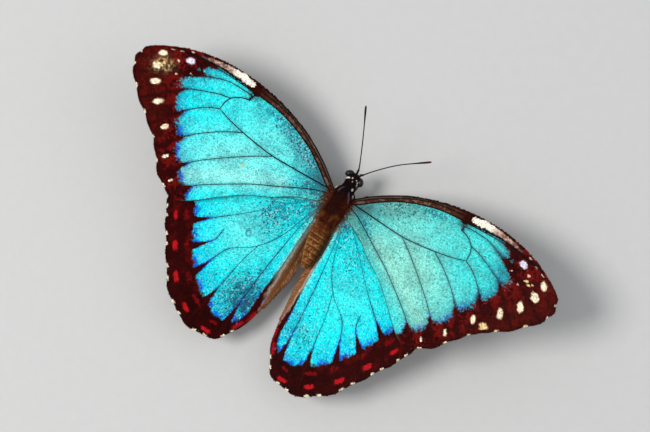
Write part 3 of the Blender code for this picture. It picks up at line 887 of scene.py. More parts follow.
def add_membrane(kind, side):
    """The wing's own thin sheet: rings of the outline shrunk towards its centre."""
    outline = wing_outline(kind, side, EDGE_INSET)[0]
    hub = np.array(WINGS[kind]["centre"])
    shares = np.arange(1, MEMBRANE_RINGS + 1) / MEMBRANE_RINGS
    sheet = np.vstack([hub, (hub + (outline - hub) * shares[:, None, None]).reshape(-1, 2)])
    count = len(outline)
    i = np.arange(count)
    j = (i + 1) % count
    quads = ring_quads(MEMBRANE_RINGS, count, 1, True)
    tris = fan(0, 1, count)
    size = len(sheet)
    rim = 1 + count * (MEMBRANE_RINGS - 1)
    edge = np.stack([rim + i, rim + size + i, rim + size + j, rim + j], axis=1)
    if side == "right":
        quads, tris, edge = quads[:, ::-1], tris[:, ::-1], edge[:, ::-1]
    points = np.vstack([on_wing(kind, side, sheet, lift)
                        for lift in (MEMBRANE_HALF, -MEMBRANE_HALF)])
    ground = Ground(kind, side, sheet)
    tints = np.vstack([wing_tint(ground, True), wing_tint(ground, False)])
    # The outline runs clockwise seen from above on the left wing.
    faces = [np.vstack([quads[:, ::-1], quads + size, edge]),
             np.vstack([tris[:, ::-1], tris + size])]
    piece = new_piece(f"{kind}_{side}_membrane", points, faces, tints, MEMBRANE)
    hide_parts(f"{kind}_{side}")


def worn_share(ground):
    """How far the scales are rubbed to a speckle of dark and pale, 0 to 1."""
    at = ground.at
    if ground.kind == "hindwing":
        left = ground.side == "left"
        root = 0.35 * hump(far(at, (1.0, -8.0)), 5.0)
        tail = (0.9 if left else 0.25) * hump(far(at, (3.2, -37.0)), 5.0)
        middle = (0.6 if left else 0.2) * hump(far(at, (8.0, -14.5)), 4.0)
        return np.maximum(np.maximum(root, tail), middle)
    front = hump(reach(at, COSTAL_STRIP)[0], 2.8) * fade(at[:, 0], 25.0, 10.0)
    root = 0.8 * hump(np.linalg.norm((at - (0.0, -3.0)) * (0.6, 1.0), axis=1), 3.6)
    return np.clip(np.maximum(front, root), 0, 1)


UNWRAP_SIZE = 72.0
UNWRAP_FROM = np.array((-6.0, -54.0))


def unwrap(at):
    """Places on a wing as places on the unwrap that its coats share."""
    return (at - UNWRAP_FROM) / UNWRAP_SIZE


# Above and below: row pitch, pitch along a row, length, width and room to the edge.
SCALE_COATS = {True: (0.31, 0.27, 0.5, 0.36, 0.12), False: (0.42, 0.36, 0.62, 0.46, 0.2)}
# Rows run round the wing's root between these radii and angles, beyond every wing's outline.
ROW_RADII = (2.0, 70.0)
ROW_ANGLES = (-1.85, 0.6)
SCALE_CLEARANCE = 0.012
SCALE_RISE = 0.055
# How unevenly the scales lie: their turn on the wing and their tilt about their length.
SCALE_TURN = 0.12
SCALE_TILT = 0.09


def lie_rows(kind, side, row_pitch, pitch, edge_room):
    """Places in rows round the wing's root, and the way the scales lie at each."""
    outline = wing_outline(kind, side, EDGE_INSET + edge_room)[0]
    start = np.array(WINGS[kind]["lie_from"])
    places = []
    rng = np.random.default_rng(5)
    for row, radius in enumerate(np.arange(*ROW_RADII, row_pitch)):
        angles = np.arange(*ROW_ANGLES, pitch / radius) + (row % 2) * 0.5 * pitch / radius
        places.append(start + radius * np.stack([np.cos(angles), np.sin(angles)], axis=1))
    places = np.vstack(places)
    places = places + rng.normal(0, 0.12, places.shape) * pitch
    places = places[inside(places, outline)]
    return places, unit(places - start)


SLOPE_STEP = 0.05


def surface_frame(kind, side, at, lie, top):
    """Places on a wing's surface, the way along it there, and the way out of it."""
    sign = 1.0 if top else -1.0
    here = on_wing(kind, side, at)
    along = unit(on_wing(kind, side, at + lie * SLOPE_STEP) - here)
    across = unit(on_wing(kind, side, at + lie[:, ::-1] * (-SLOPE_STEP, SLOPE_STEP)) - here)
    normal = unit(np.cross(along, across))
    normal = normal * np.where(normal[:, 2:] > 0, sign, -sign)
    return here, along, normal


def add_scale_coat(kind, side, top):
    row_pitch, pitch, length, width, room = SCALE_COATS[top]
    at, lie = lie_rows(kind, side, row_pitch, pitch, room)
    rng = np.random.default_rng(17 if top else 18)
    count = len(at)
    turn = rng.normal(0, SCALE_TURN, count)
    lie = np.stack([lie[:, 0] * np.cos(turn) - lie[:, 1] * np.sin(turn),
                    lie[:, 0] * np.sin(turn) + lie[:, 1] * np.cos(turn)], axis=1)
    here, along, normal = surface_frame(kind, side, at, lie, top)
    across = np.cross(normal, along)
    tilted = unit(normal + across * rng.normal(0, SCALE_TILT, count)[:, None])
    ground = Ground(kind, side, at + lie * 0.6 * length)
    tints = wing_tint(ground, top)
    shade = 1.16 - 0.24 * np.abs(rng.normal(0, 1, count)) + 0.06 * rng.normal(0, 1, count)
    tints = tints * np.clip(shade, 0.35, 1.25)[:, None]
    light = tints[:, 2] > 0.35
    tints = lay(tints, SLATE, 0.4 * (rng.random(count) < 0.14) * light * top)
    tints = lay(tints, CYAN_PALE, 0.26 * (rng.random(count) < 0.15) * light
                * (tints[:, 0] < 0.4) * top)
    if top:
        worn = worn_share(ground) * light
        dark, pale = ((WORN_BLACK, WORN_SAND) if (kind, side) == ("forewing", "right")
                      else (WORN_NAVY, WORN_PALE))
        tints = lay(tints, dark, 0.85 * (rng.random(count) < 0.5 * worn))
        tints = lay(tints, pale, 0.4 * (rng.random(count) < 0.2 * worn))
    scales(f"{kind}_{side}_scales_{'top' if top else 'under'}",
           here + normal * (MEMBRANE_HALF + SCALE_CLEARANCE), along, tilted,
           length * rng.uniform(0.9, 1.1, count), width * rng.uniform(0.9, 1.1, count),
           SCALE_RISE + rng.uniform(-0.012, 0.02, count), tints, unwrap(at),
           WING_SCALES if top else UNDER_SCALES)


def add_veins(kind, side):
    """Low ridges over the veins, above and below the wing."""
    meshes, flats, above = [], [], []
    sheet = wing_outline(kind, side, EDGE_INSET)[0]
    for path, thick, thin in VEINS_OF[kind]:
        flat = spline(path, VEIN_STEPS)
        flat = flat[inside(flat, sheet)]
        radii = np.linspace(thick, thin, len(flat))
        radii[-2:] *= 0.6
        for sign in (1, -1):
            centre = on_wing(kind, side, flat, sign * VEIN_LIFTS[sign])
            meshes.append(tube_mesh(centre, radii * (0.9 if sign > 0 else 0.8), VEIN_SIDES,
                                    VEIN_FLAT))
            flats.append(np.repeat(flat, VEIN_SIDES, axis=0))
            above.append(np.full(VEIN_SIDES * len(flat), sign > 0))
    points, faces, _ = joined(meshes)
    at, above = np.vstack(flats), np.concatenate(above)
    ground = Ground(kind, side, at)
    dark = plain(VEIN_DARK, at)
    if kind == "hindwing":
        outer = fade(-ground.into_dark, 13.0, 2.0)
        dark = lay(dark, CYAN_DEEP * 0.55, 0.75 * (1 - outer))
    elif side == "right":
        dark = lay(dark, VEIN_TEAL, 0.45 * fade(at[:, 0], 2.0, 16.0))
    dark = lay(dark, BORDER * 0.8, fade(ground.into_dark, 0.0, 1.0))
    if kind == "forewing":
        dark = lay(dark, STRIP_DARK, in_costal_strip(at + (0.0, 0.4)) * 1.0)
    dark = lay(dark, THORAX_BROWN, 0.6 * hump(at[:, 0] + 1.4, 1.6))
    dark = lay(dark, UNDER_DARK, ~above * 1.0)
    new_piece(f"{kind}_{side}_veins", points, faces, dark, VEINS)


FRINGE_PITCH = 0.11
FRINGE_LENGTH = 0.43
FRINGE_WIDTH = 0.26


def add_fringe(kind, side):
    """Flat hair scales round the margin, dark with white ticks between the veins."""
    outline, first, _ = wing_outline(kind, side, FRINGE_INSET)
    ring = np.vstack([outline[first - OUTLINE_STEPS:], outline[:1]])
    gone = gone_along(ring)
    along = np.arange(0.0, gone[-1], FRINGE_PITCH)
    rng = np.random.default_rng(23)
    along = along + rng.uniform(-0.4, 0.4, len(along)) * FRINGE_PITCH
    index = np.interp(along, gone, np.arange(len(ring)))
    at = places_along(ring, along)
    tangent = unit(places_along(ring, along + 0.5) - places_along(ring, along - 0.5))
    outward = np.stack([-tangent[:, 1], tangent[:, 0]], axis=1)
    outward = outward * np.sign(((at - WINGS[kind]["centre"]) * outward).sum(axis=1))[:, None]
    lie = unit(outward + tangent * rng.normal(0, 0.16, len(at))[:, None])
    here, forward, normal = surface_frame(kind, side, at, lie, True)
    # The index counts outline steps from one vein's end before the margin's start.
    phase = (index - OUTLINE_STEPS) / OUTLINE_STEPS
    on_margin = (phase > 0) & (phase < len(WINGS[kind]["vein_ends"]) - 1)
    tints = lay(plain(FRINGE_DARK, at), CREAM, tick_share(kind, phase))
    if kind == "hindwing":
        tints = lay(tints, FOLD_TAN, fade(phase, 6.4, 7.2))
    else:
        tints = lay(tints, SAGE * 0.6, fade(phase, 7.3, 8.3))
    length = FRINGE_LENGTH * rng.uniform(0.8, 1.1, len(at)) * np.where(on_margin, 1.0, 0.75)
    tufts(f"{kind}_{side}_fringe", here, forward, normal, length, FRINGE_WIDTH, 0.05, 0.05,
          tints, unwrap(at), FRINGE)


FOLD_HAIRS = 3600
WING_HAIRS = {"forewing": 1300, "hindwing": 5600}


def add_fold_hair(side):
    """Long hair on the hindwing's inner edge, which closes up to the abdomen."""
    shape = WINGS["hindwing"]
    outline = wing_outline("hindwing", side, FRINGE_INSET)[0]
    edge = outline[-(len(shape["inner"]) - 1) * OUTLINE_STEPS - 1:]
    edge = edge[edge[:, 1] > -36.0]
    rng = np.random.default_rng(31)
    at = places_along(edge, rng.uniform(0, gone_along(edge)[-1], FOLD_HAIRS))
    at = at + np.stack([rng.uniform(0, 0.5, len(at)), np.zeros(len(at))], axis=1)
    lie = unit(np.array((-1.0, -0.8)) + rng.normal(0, 0.25, at.shape))
    here, heading, normal = surface_frame("hindwing", side, at, lie, True)
    heading = unit(heading * (1.0, 1.0, 0.35))
    # The fold hair's brown is lightened with painted light, as on the fold.
    tints = lay(plain(FOLD_BROWN_LIT, at), THORAX_RUST, 0.8 * rng.random(len(at)))
    tints = lay(tints, FOLD_TAN, fade(rng.random(len(at)), 0.7, 0.9))
    length = rng.uniform(1.2, 2.1, len(at)) * (0.5 + 0.5 * fade(at[:, 1], -34.0, -24.0))
    tufts(f"hindwing_{side}_fold_hair", here, heading, normal, length, 0.1, 0.15, 0.2, tints,
          unwrap(at), FUR)


def add_wing_hair(kind, side):
    """Long soft hair at the wing's root and, on the hindwing, along its fold."""
    rng = np.random.default_rng(29)
    count = WING_HAIRS[kind]
    if kind == "forewing":
        out = rng.gamma(1.6, 0.5, count) - 2.3
        at = np.stack([out, rng.uniform(-5.0, 0.4, count)], axis=1)
        length = rng.uniform(0.6, 1.3, count)
        towards = (2.0, -1.0)
    else:
        forward = rng.uniform(-37.0, -4.5, count)
        at = np.stack([-1.5 - 2.5 * rng.random(count) ** 0.8, forward], axis=1)
        root = rng.random(count) < 0.1
        at[root, 0] = rng.gamma(1.6, 0.7, root.sum()) - 2.3
        at[root, 1] = rng.uniform(-9.0, -4.5, root.sum())
        length = rng.uniform(0.7, 1.4, count)
        towards = (-1.5, -6.0)
    outline = wing_outline(kind, side, FRINGE_INSET)[0]
    keep = inside(at, outline)
    at, length = at[keep], length[keep]
    lie = unit(unit(at - np.array(WINGS[kind]["lie_from"])) + 0.5 * np.array(towards)
               + rng.normal(0, 0.3, at.shape))
    here, along, normal = surface_frame(kind, side, at, lie, True)
    if kind == "forewing":
        tints = lay(plain(THORAX_BROWN, at), THORAX_RUST, rng.random(len(at)))
        tints = lay(tints, FOLD_TAN, 0.5 * fade(rng.random(len(at)), 0.8, 0.9))
    else:
        # The hair's brown on the fold is lightened with painted light, as on the fold.
        tints = lay(plain(FOLD_BROWN_LIT, at), FOLD_TAN, fade(at[:, 0], -2.9, -3.5))
        tints = lay(tints, FOLD_PALE, 0.7 * fade(at[:, 0], -2.3, -1.6) * rng.random(len(at)))
        tints = lay(tints, THORAX_RUST, 0.8 * fade(at[:, 1], -13.0, -7.0))
    tints = tints * rng.uniform(0.7, 1.25, len(at))[:, None]
    tufts(f"{kind}_{side}_hair", here + normal * MEMBRANE_HALF, along, normal, length, 0.09,
          0.28, 0.2, tints, unwrap(at), FUR)


# Body: one skin through the head, thorax and abdomen, inside them by the coat's depth.

# Stations: distance behind the hinges, sideways, height, half width, half height.
THORAX = [(-2.4, -0.4, 8.8, 2.1, 2.4), (-1.6, -0.4, 8.8, 2.2, 2.8), (-0.9, -0.4, 8.75, 2.75, 3.2),
          (0.0, -0.38, 8.7, 3.05, 3.5), (2.2, -0.35, 8.6, 3.2, 3.8), (5.2, -0.3, 8.55, 3.05, 3.7),
          (7.8, -0.36, 8.7, 2.7, 3.2), (9.2, -0.45, 8.8, 2.4, 2.45)]
ABDOMEN = [(10.6, -0.5, 8.9, 2.4, 2.25), (13.0, -0.72, 9.0, 2.7, 2.4),
           (16.0, -1.18, 8.95, 2.5, 2.3), (18.8, -1.58, 8.6, 2.0, 1.95),
           (20.8, -1.72, 8.2, 1.4, 1.4), (21.7, -1.66, 8.0, 0.8, 0.8),
           (21.95, -1.65, 7.95, 0.3, 0.32)]
# The head's stations are in its own coordinates, which are turned about the neck.
NECK = np.array((-0.03, -3.05, 8.8))
HEAD_YAW = 10.0
HEAD_ROLL = 8.0
HEAD = [(-0.4, 0.0, -0.05, 1.75, 1.9), (-1.6, 0.0, -0.2, 1.9, 2.05),
        (-2.5, 0.0, -0.35, 1.5, 1.7), (-2.95, 0.0, -0.5, 0.9, 1.0), (-3.1, 0.0, -0.55, 0.35, 0.4)]
# The station between the two.
WAIST = (9.85, -0.46, 8.87, 2.15, 2.1)
COAT_DEPTH = {"head": 0.14, "thorax": 0.36, "abdomen": 0.2}
SKIN_SIDES = 72
SKIN_STEPS = 8
HEAD_TURN = turn_about("Z", -HEAD_YAW) @ turn_about("Y", -HEAD_ROLL)
EYE_CENTRE = np.array((1.85, 1.93, -0.1))
EYE_RADII = np.array((0.88, 1.2, 1.25))
EYE_TURN = 40.0
EYE_RINGS = 39
EYE_SIDES = 64


def head_point(points):
    """From head coordinates, sideways, forward and up, to the insect's."""
    points = np.atleast_2d(points) * (1, -1, 1)
    return points @ HEAD_TURN.T + NECK


def head_coordinates(points):
    return ((points - NECK) @ HEAD_TURN) * (1, -1, 1)


def in_eye(local, sign):
    """How far head coordinates are from an eye's centre, 1 at its surface."""
    away = (local - EYE_CENTRE * (sign, 1, 1)) * (1, -1, 1) @ turn_about("Z", -sign * EYE_TURN)
    return np.linalg.norm(away / EYE_RADII, axis=1)


def skin_grid():
    """The skin as rings from tail to face."""
    angle = 2 * np.pi * np.arange(SKIN_SIDES) / SKIN_SIDES
    rings = []

    def ring(station, depth, turned):
        along, sideways, height, half_width, half_height = station
        points = np.stack([sideways + (half_width - depth) * np.sin(angle),
                           np.full(SKIN_SIDES, along),
                           height + (half_height - depth) * np.cos(angle)], axis=1)
        rings.append((points @ HEAD_TURN.T + NECK if turned else points).ravel())

    for station in reversed(ABDOMEN):
        ring(station, min(COAT_DEPTH["abdomen"], 0.4 * station[3]), False)
    ring(WAIST, COAT_DEPTH["abdomen"], False)
    for station in reversed(THORAX):
        ring(station, COAT_DEPTH["thorax"], False)
    for station in HEAD:
        ring(station, min(COAT_DEPTH["head"], 0.4 * station[3]), True)
    grid = spline(rings, SKIN_STEPS).reshape(-1, SKIN_SIDES, 3)
    middle = grid.mean(axis=1, keepdims=True)
    local = head_coordinates(grid.reshape(-1, 3)).reshape(grid.shape)
    y = grid[..., 1]
    swell = 1 - 0.035 * ring_groove(y) * fade(y, 9.8, 10.8)
    furrow = hump(grid[..., 0] + 0.38, 0.22) * (grid[..., 2] > 9)
    swell = swell - 0.05 * furrow * fade(y, -1.5, 1.0) * fade(y, 9.0, 7.0)
    crown = hump(local[..., 0], 0.35) * hump(local[..., 1] - 2.3, 0.6) * (local[..., 2] > 0)
    swell = swell + 0.05 * crown
    for sign in SIDES.values():
        near = in_eye(local.reshape(-1, 3), sign).reshape(y.shape)
        swell = swell + 0.07 * hump(near - 1.12, 0.1) - 0.12 * fade(near, 1.05, 0.8)
    return middle + (grid - middle) * swell[..., None]


ABDOMEN_FROM = 9.9
RING_PITCH = 1.52


def ring_groove(y):
    """1 in the grooves between the abdomen's rings."""
    phase = (y - ABDOMEN_FROM) / RING_PITCH
    return hump(phase - np.round(phase), 0.13)


# White dots, and lilac and white streaks, on the thorax and head.
THORAX_DOTS = [((-1.94, -1.91, 10.2), 0.36), ((-2.9, -0.55, 9.8), 0.36), ((2.0, -0.6, 9.8), 0.45)]
HEAD_DOTS = [((0.24, 1.5, 1.8), 0.22), ((-0.43, 0.76, 1.75), 0.18), ((-0.98, 1.71, 1.49), 0.18)]
LILAC_STREAKS = [[(0.81, 0.09, 11.66), (0.5, -0.7, 11.5), (0.16, -1.5, 11.31)],
                 [(-2.89, 1.47, 10.39), (-2.4, 0.4, 10.95), (-1.8, -0.72, 11.3)]]
EYE_STREAKS = [[(1.0, 1.05, 1.52), (1.32, 0.83, 1.22), (1.73, 0.51, 0.19), (1.8, 0.4, -0.6)],
               [(-1.45, 1.5, 1.0), (-1.77, 1.03, 0.51), (-1.8, 0.7, 0.2), (-1.8, 0.5, -0.6)]]


def body_tint(points):
    """The coat's colours at places on the body."""
    x, y, z = points.T
    local = head_coordinates(points)
    flat = np.stack([x + 0.37 * z, y + 0.11 * z], axis=1)
    tint = plain(THORAX_BROWN, points)
    tint = lay(tint, THORAX_RUST, 0.9 * fade(np.abs(x + 0.35), 1.2, 2.4) * fade(y, -0.5, 2.0))
    tint = lay(tint, THORAX_RUST, 0.8 * fade(y, 5.0, 8.0))
    # Tan patches on the thorax's hind sides: tan hair, and painted highlight on the fur there.
    tint = lay(tint, THORAX_TAN_AND_HIGHLIGHT, 0.35 * fade(y, 4.0, 6.5) * patches(flat, 0.9, 81, 0.45, 0.75)
               * (0.35 + 0.65 * fade(np.abs(x + 0.35), 0.6, 1.4)))
    tint = lay(tint, COLLAR_BLACK, fade(y, 1.0, -1.0))
    tint = lay(tint, ABDOMEN_BROWN, fade(y, 9.2, 10.6))
    tint = lay(tint, THORAX_RUST, 0.7 * fade(y, 9.2, 10.4) * hump(x + 0.45 + 0.12 * (y - 10), 1.0)
               * fade(y, 18.0, 12.0))
    tint = lay(tint, ABDOMEN_DARK, 0.75 * fade(y, 9.2, 10.4) * patches(flat, 0.5, 82, 0.4, 0.75))
    tint = lay(tint, RING_TAN, 0.5 * fade(y, 11.0, 15.0) * patches(flat, 0.35, 83, 0.55, 0.8))
    clumps = 0.6 * mottle(flat, 0.55, 86) + 0.4 * mottle(flat, 0.3, 87)
    tint = tint * (0.5 + clumps)[:, None]
    phase = (y - ABDOMEN_FROM) / RING_PITCH + 0.12 * (mottle(flat, 0.6, 84) - 0.5)
    ring_back = hump(phase - np.floor(phase) - 0.8, 0.1)
    tint = lay(tint, RING_TAN, 0.75 * ring_back * fade(y, 10.2, 13.5)
               * (0.4 + 0.6 * patches(flat, 0.5, 85, 0.3, 0.6)))
    tint = lay(tint, ABDOMEN_DARK, 0.8 * ring_groove(y) * fade(y, 9.6, 10.6))
    behind, middle, _, half, _ = np.transpose(ABDOMEN)
    rim = (x - np.interp(y, behind, middle)) / np.interp(y, behind, half)
    tint = lay(tint, RING_TAN, 0.75 * hump(rim - 0.76, 0.1) * fade(y, 13.0, 16.0)
               * patches(flat, 0.3, 88, 0.4, 0.6))
    # Painted shade: the abdomen's right flank is darkened.
    tint = lay(tint, ABDOMEN_DARK * 0.7, 0.7 * hump(rim + 0.9, 0.2) * fade(y, 10.5, 12.5))
    tint = lay(tint, BELLY_BUFF, 0.7 * fade(z, 8.2, 6.6) * fade(y, 6.0, 11.0))
    tint = lay(tint, UNDER_CREAM, 0.35 * fade(z, 7.4, 6.2) * fade(y, 7.0, 4.0))
    for places, dots, share in ((points, THORAX_DOTS, 1.0), (local, HEAD_DOTS, 0.9)):
        for centre, radius in dots:
            dot = fade(far(places, centre), 1.25 * radius, 0.8 * radius)
            tint = lay(tint, STREAK_WHITE, share * dot)
    for line in LILAC_STREAKS:
        tint = lay(tint, STREAK_LILAC, 0.7 * fade(reach(points, line)[0], 0.3, 0.12))
    for streak in EYE_STREAKS:
        tint = lay(tint, STREAK_WHITE, fade(reach(local, streak)[0], 0.3, 0.16))
    return tint


def add_skin(grid):
    rows, sides = grid.shape[:2]
    points = np.vstack([grid.reshape(-1, 3), grid[0].mean(axis=0), grid[-1].mean(axis=0)])
    tail, face = len(points) - 2, len(points) - 1
    faces = [ring_quads(rows, sides)[:, ::-1],
             np.vstack([fan(tail, 0, sides), fan(face, sides * (rows - 1), sides, True)])]
    piece = new_piece("body_skin", points, faces, body_tint(points) * 0.6, SKIN)
    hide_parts("head", "thorax", "abdomen")


# Fur: hairs to the square millimetre, length, width and lift, by distance behind the hinges.
# The face has the shortest.
FUR_AT = [-6.2, -5.0, -3.2, -2.4, 0.0, 6.0, 8.8, 9.8, 11.0, 22.0]
FUR_DENSITY = [70, 62, 50, 34, 26, 24, 26, 34, 34, 40]
FUR_LENGTH = [0.24, 0.32, 0.5, 0.75, 1.0, 1.15, 1.0, 0.55, 0.42, 0.34]
FUR_WIDTH = [0.07, 0.08, 0.1, 0.11, 0.12, 0.12, 0.12, 0.12, 0.13, 0.12]
FUR_LIFT = [0.45, 0.5, 0.55, 0.55, 0.5, 0.4, 0.32, 0.3, 0.28, 0.3]


# Each coat's name, where it starts and ends, and its seed.
FUR_COATS = [("head_fur", -7.0, -2.6, 51), ("thorax_fur", -2.6, 9.6, 52),
             ("abdomen_fur", 9.6, 23.0, 53)]


def add_fur(name, grid, start, end, seed):
    """Tufts over the skin's rows from start to end, lying towards the tail."""
    rng = np.random.default_rng(seed)
    corner, after = grid[:-1], grid[1:]
    beside, beyond = np.roll(corner, -1, axis=1), np.roll(after, -1, axis=1)
    normals = np.cross(beside - corner, after - corner)
    area = np.linalg.norm(normals, axis=-1)
    y = corner[..., 1]
    wanted = area * np.interp(y, FUR_AT, FUR_DENSITY) * ((y >= start) & (y < end))
    local = head_coordinates(corner.reshape(-1, 3))
    for sign in SIDES.values():
        wanted = wanted * (in_eye(local, sign).reshape(y.shape) > 1.0)
    count = int(wanted.sum())
    picks = rng.choice(wanted.size, count, p=wanted.ravel() / wanted.sum())
    row, col = np.unravel_index(picks, wanted.shape)
    u, v = rng.random((2, count, 1))
    at = ((corner[row, col] * (1 - u) + after[row, col] * u) * (1 - v)
          + (beside[row, col] * (1 - u) + beyond[row, col] * u) * v)
    normal = unit(-normals[row, col])
    back = unit(corner[row, col] - after[row, col])
    across = np.cross(normal, back)
    back = unit(back + across * rng.normal(0, 0.2, count)[:, None])
    place = at[:, 1]
    length = np.interp(place, FUR_AT, FUR_LENGTH) * rng.uniform(0.75, 1.2, count)
    width = np.interp(place, FUR_AT, FUR_WIDTH)
    lift = np.interp(place, FUR_AT, FUR_LIFT) * rng.uniform(0.6, 1.3, count)
    tints = body_tint(at + back * 0.4 * length[:, None]) * rng.uniform(0.6, 1.6, count)[:, None]
    roots = np.stack([(col + v[:, 0]) / grid.shape[1], (row + u[:, 0]) / grid.shape[0]], axis=1)
    tufts(name, at - normal * 0.03, back, normal, length, width, lift, lift * 0.75, tints, roots,
          FUR, tip_tint=1.1)


# Head


def add_eyes():
    for side, sign in SIDES.items():
        theta = np.linspace(0, np.pi, EYE_RINGS + 2)[1:-1, None]
        phi = np.linspace(0, 2 * np.pi, EYE_SIDES, endpoint=False)[None]
        ball = np.stack([np.sin(theta) * np.cos(phi), np.sin(theta) * np.sin(phi),
                         np.cos(theta) + 0 * phi], axis=-1)
        shape = np.concatenate([ball.reshape(-1, 3), [(0, 0, 1), (0, 0, -1)]]) * EYE_RADII
        local = shape @ turn_about("Z", -sign * EYE_TURN).T + EYE_CENTRE * (sign, -1, 1)
        points = local @ HEAD_TURN.T + NECK
        rows, sides = ball.shape[:2]
        caps = [fan(rows * sides, 0, sides),
                fan(rows * sides + 1, sides * (rows - 1), sides, True)]
        tint = plain(EYE_DARK, points)
        tint = lay(tint, EYE_SHEEN, 0.15 * fade(local[:, 2], -0.2, 0.9))
        faces = [ring_quads(rows, sides, 0, True), np.vstack(caps)]
        piece = new_piece(f"eye_{side}_facets", points, faces, tint, EYE)
        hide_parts(f"eye_{side}")


# Feelers, in head coordinates. Their joints are rings along them.
ANTENNA_PATHS = {
    "left": [(0.3, 2.4, 0.3), (0.6, 4.2, 1.5), (2.75, 7.7, 3.85), (5.7, 12.0, 6.3),
             (9.5, 17.2, 9.0)],
    "right": [(-0.5, 2.4, 0.3), (-1.4, 4.2, 1.6), (-3.65, 7.8, 3.35), (-6.8, 12.1, 4.8),
              (-12.4, 18.0, 6.6)],
}
ANTENNA_JOINT = 0.42
LIMB_SIDES = 14


def path_rows(path, steps, pitch):
    """A path's spline, resampled to rows of even pitch."""
    fine = spline(path, steps)
    length = gone_along(fine)[-1]
    along = np.linspace(0, length, max(int(length / pitch), 4))
    return places_along(fine, along), along


def add_antennae():
    for side in SIDES:
        rows, along = path_rows(head_point(np.array(ANTENNA_PATHS[side])), 12, ANTENNA_JOINT / 5)
        phase = along / ANTENNA_JOINT % 1.0
        share = along / along[-1]
        radii = 0.2 - 0.05 * fade(share, 0.0, 0.3) + 0.13 * fade(share, 0.72, 0.95)
        radii = radii * (1 - 0.14 * hump(phase - 0.5, 0.16)) * (1 - 0.55 * fade(share, 0.975, 1.0))
        radii = radii + 0.12 * hump(along - 1.9, 0.25)
        points, faces = tube_mesh(rows, radii, LIMB_SIDES)
        tint = plain(FEELER_BLACK, rows)
        tint = lay(tint, UNDER_CREAM, 0.06 * hump(phase - 0.5, 0.12) * fade(share, 0.85, 0.6))
        tint = lay(tint, FEELER_RUST, fade(share, 0.9, 0.97))
        piece = new_piece(f"feeler_{side}", points, faces,
                          np.repeat(tint, LIMB_SIDES, axis=0), FEELER)
        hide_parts(f"antenna_{side}")


PALP_SIDES = 16
# In head coordinates, on the insect's left.
PALP_PATH = [(0.45, 2.5, -1.4), (0.58, 3.4, -1.25), (0.65, 3.55, -0.4), (0.6, 3.55, 0.22)]


def tufts_on_tubes(name, tubes, pitch, length, width, lift, seed, material):
    """Short hairs over tubes: each tube has its rows, radii and a tint for each row."""
    rng = np.random.default_rng(seed)
    parts = {"at": [], "along": [], "normal": [], "tint": [], "root": []}
    for k, (rows, radii, tint) in enumerate(tubes):
        tangent = unit(np.gradient(rows, axis=0))
        length_of = np.linalg.norm(np.diff(rows, axis=0), axis=1).sum()
        count = int(length_of * 2 * np.pi * radii.mean() / pitch ** 2)
        place = rng.uniform(0.03, 0.97, count) * (len(rows) - 1)
        index = place.astype(int)
        angle = rng.uniform(0, 2 * np.pi, count)
        side = unit(np.cross(tangent[index], (0.3, 0.2, 1.0)))
        up = np.cross(side, tangent[index])
        normal = side * np.cos(angle)[:, None] + up * np.sin(angle)[:, None]
        part = (place - index)[:, None]
        middle = rows[index] * (1 - part) + rows[index + 1] * part
        parts["at"].append(middle + normal * (0.9 * radii[index])[:, None])
        parts["along"].append(unit(tangent[index] + rng.normal(0, 0.1, (count, 3))))
        parts["normal"].append(normal)
        parts["tint"].append(tint[index] * rng.uniform(0.7, 1.3, count)[:, None])
        parts["root"].append(np.stack([(k + angle / (2 * np.pi)) / len(tubes),
                                       place / len(rows)], axis=1))
    made = {key: np.vstack(value) for key, value in parts.items()}
    count = len(made["at"])
    return tufts(name, made["at"], made["along"], made["normal"],
                 length * rng.uniform(0.7, 1.2, count), width, lift, 0.5 * lift, made["tint"],
                 made["root"], material)


def add_palps():
    tubes = []
    for side, sign in SIDES.items():
        rows, along = path_rows(head_point(np.array(PALP_PATH) * (sign, 1, 1)), 10, 0.1)
        share = along / along[-1]
        radii = 0.26 - 0.12 * fade(share, 0.6, 1.0) - 0.08 * fade(share, 0.94, 1.0)
        tint = lay(plain(COLLAR_BLACK, rows), UNDER_CREAM, 0.6 * fade(share, 0.45, 0.1))
        points, faces = tube_mesh(rows, radii, PALP_SIDES)
        piece = new_piece(f"palp_{side}_core", points, faces,
                          np.repeat(tint, PALP_SIDES, axis=0) * 0.7, SKIN)
        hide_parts(f"palp_{side}")
        tubes.append((rows, radii, tint))
    tufts_on_tubes("palp_coat", tubes, 0.09, 0.3, 0.07, 0.35, 37, FUR)


# The tongue's coil, in head coordinates.
COIL_TURNS = 2.6
COIL_POINTS = 130
COIL_RADII = (0.42, 0.12)
COIL_CENTRE = (0.0, 3.05, -1.8)
COIL_START = (0.0, 2.1, -1.5)
TONGUE_RADII = (0.075, 0.035)
TONGUE_SIDES = 8


def add_tongue():
    """The coiled tongue between the palps."""
    angle = np.linspace(0, 2 * np.pi * COIL_TURNS, COIL_POINTS)
    radius = np.linspace(*COIL_RADII, len(angle))
    rows = np.stack([0 * angle, COIL_CENTRE[1] - radius * np.cos(angle + 0.6),
                     COIL_CENTRE[2] + radius * np.sin(angle + 0.6)], axis=1)
    rows = np.vstack([[COIL_START], rows])
    points, faces = tube_mesh(head_point(rows), np.linspace(*TONGUE_RADII, len(rows)),
                              TONGUE_SIDES)
    new_piece("tongue_coil", points, faces, plain(LEG_BROWN, points), CUTICLE)


# Legs: outward, behind and height. After a first point inside the thorax, each is the solid's.

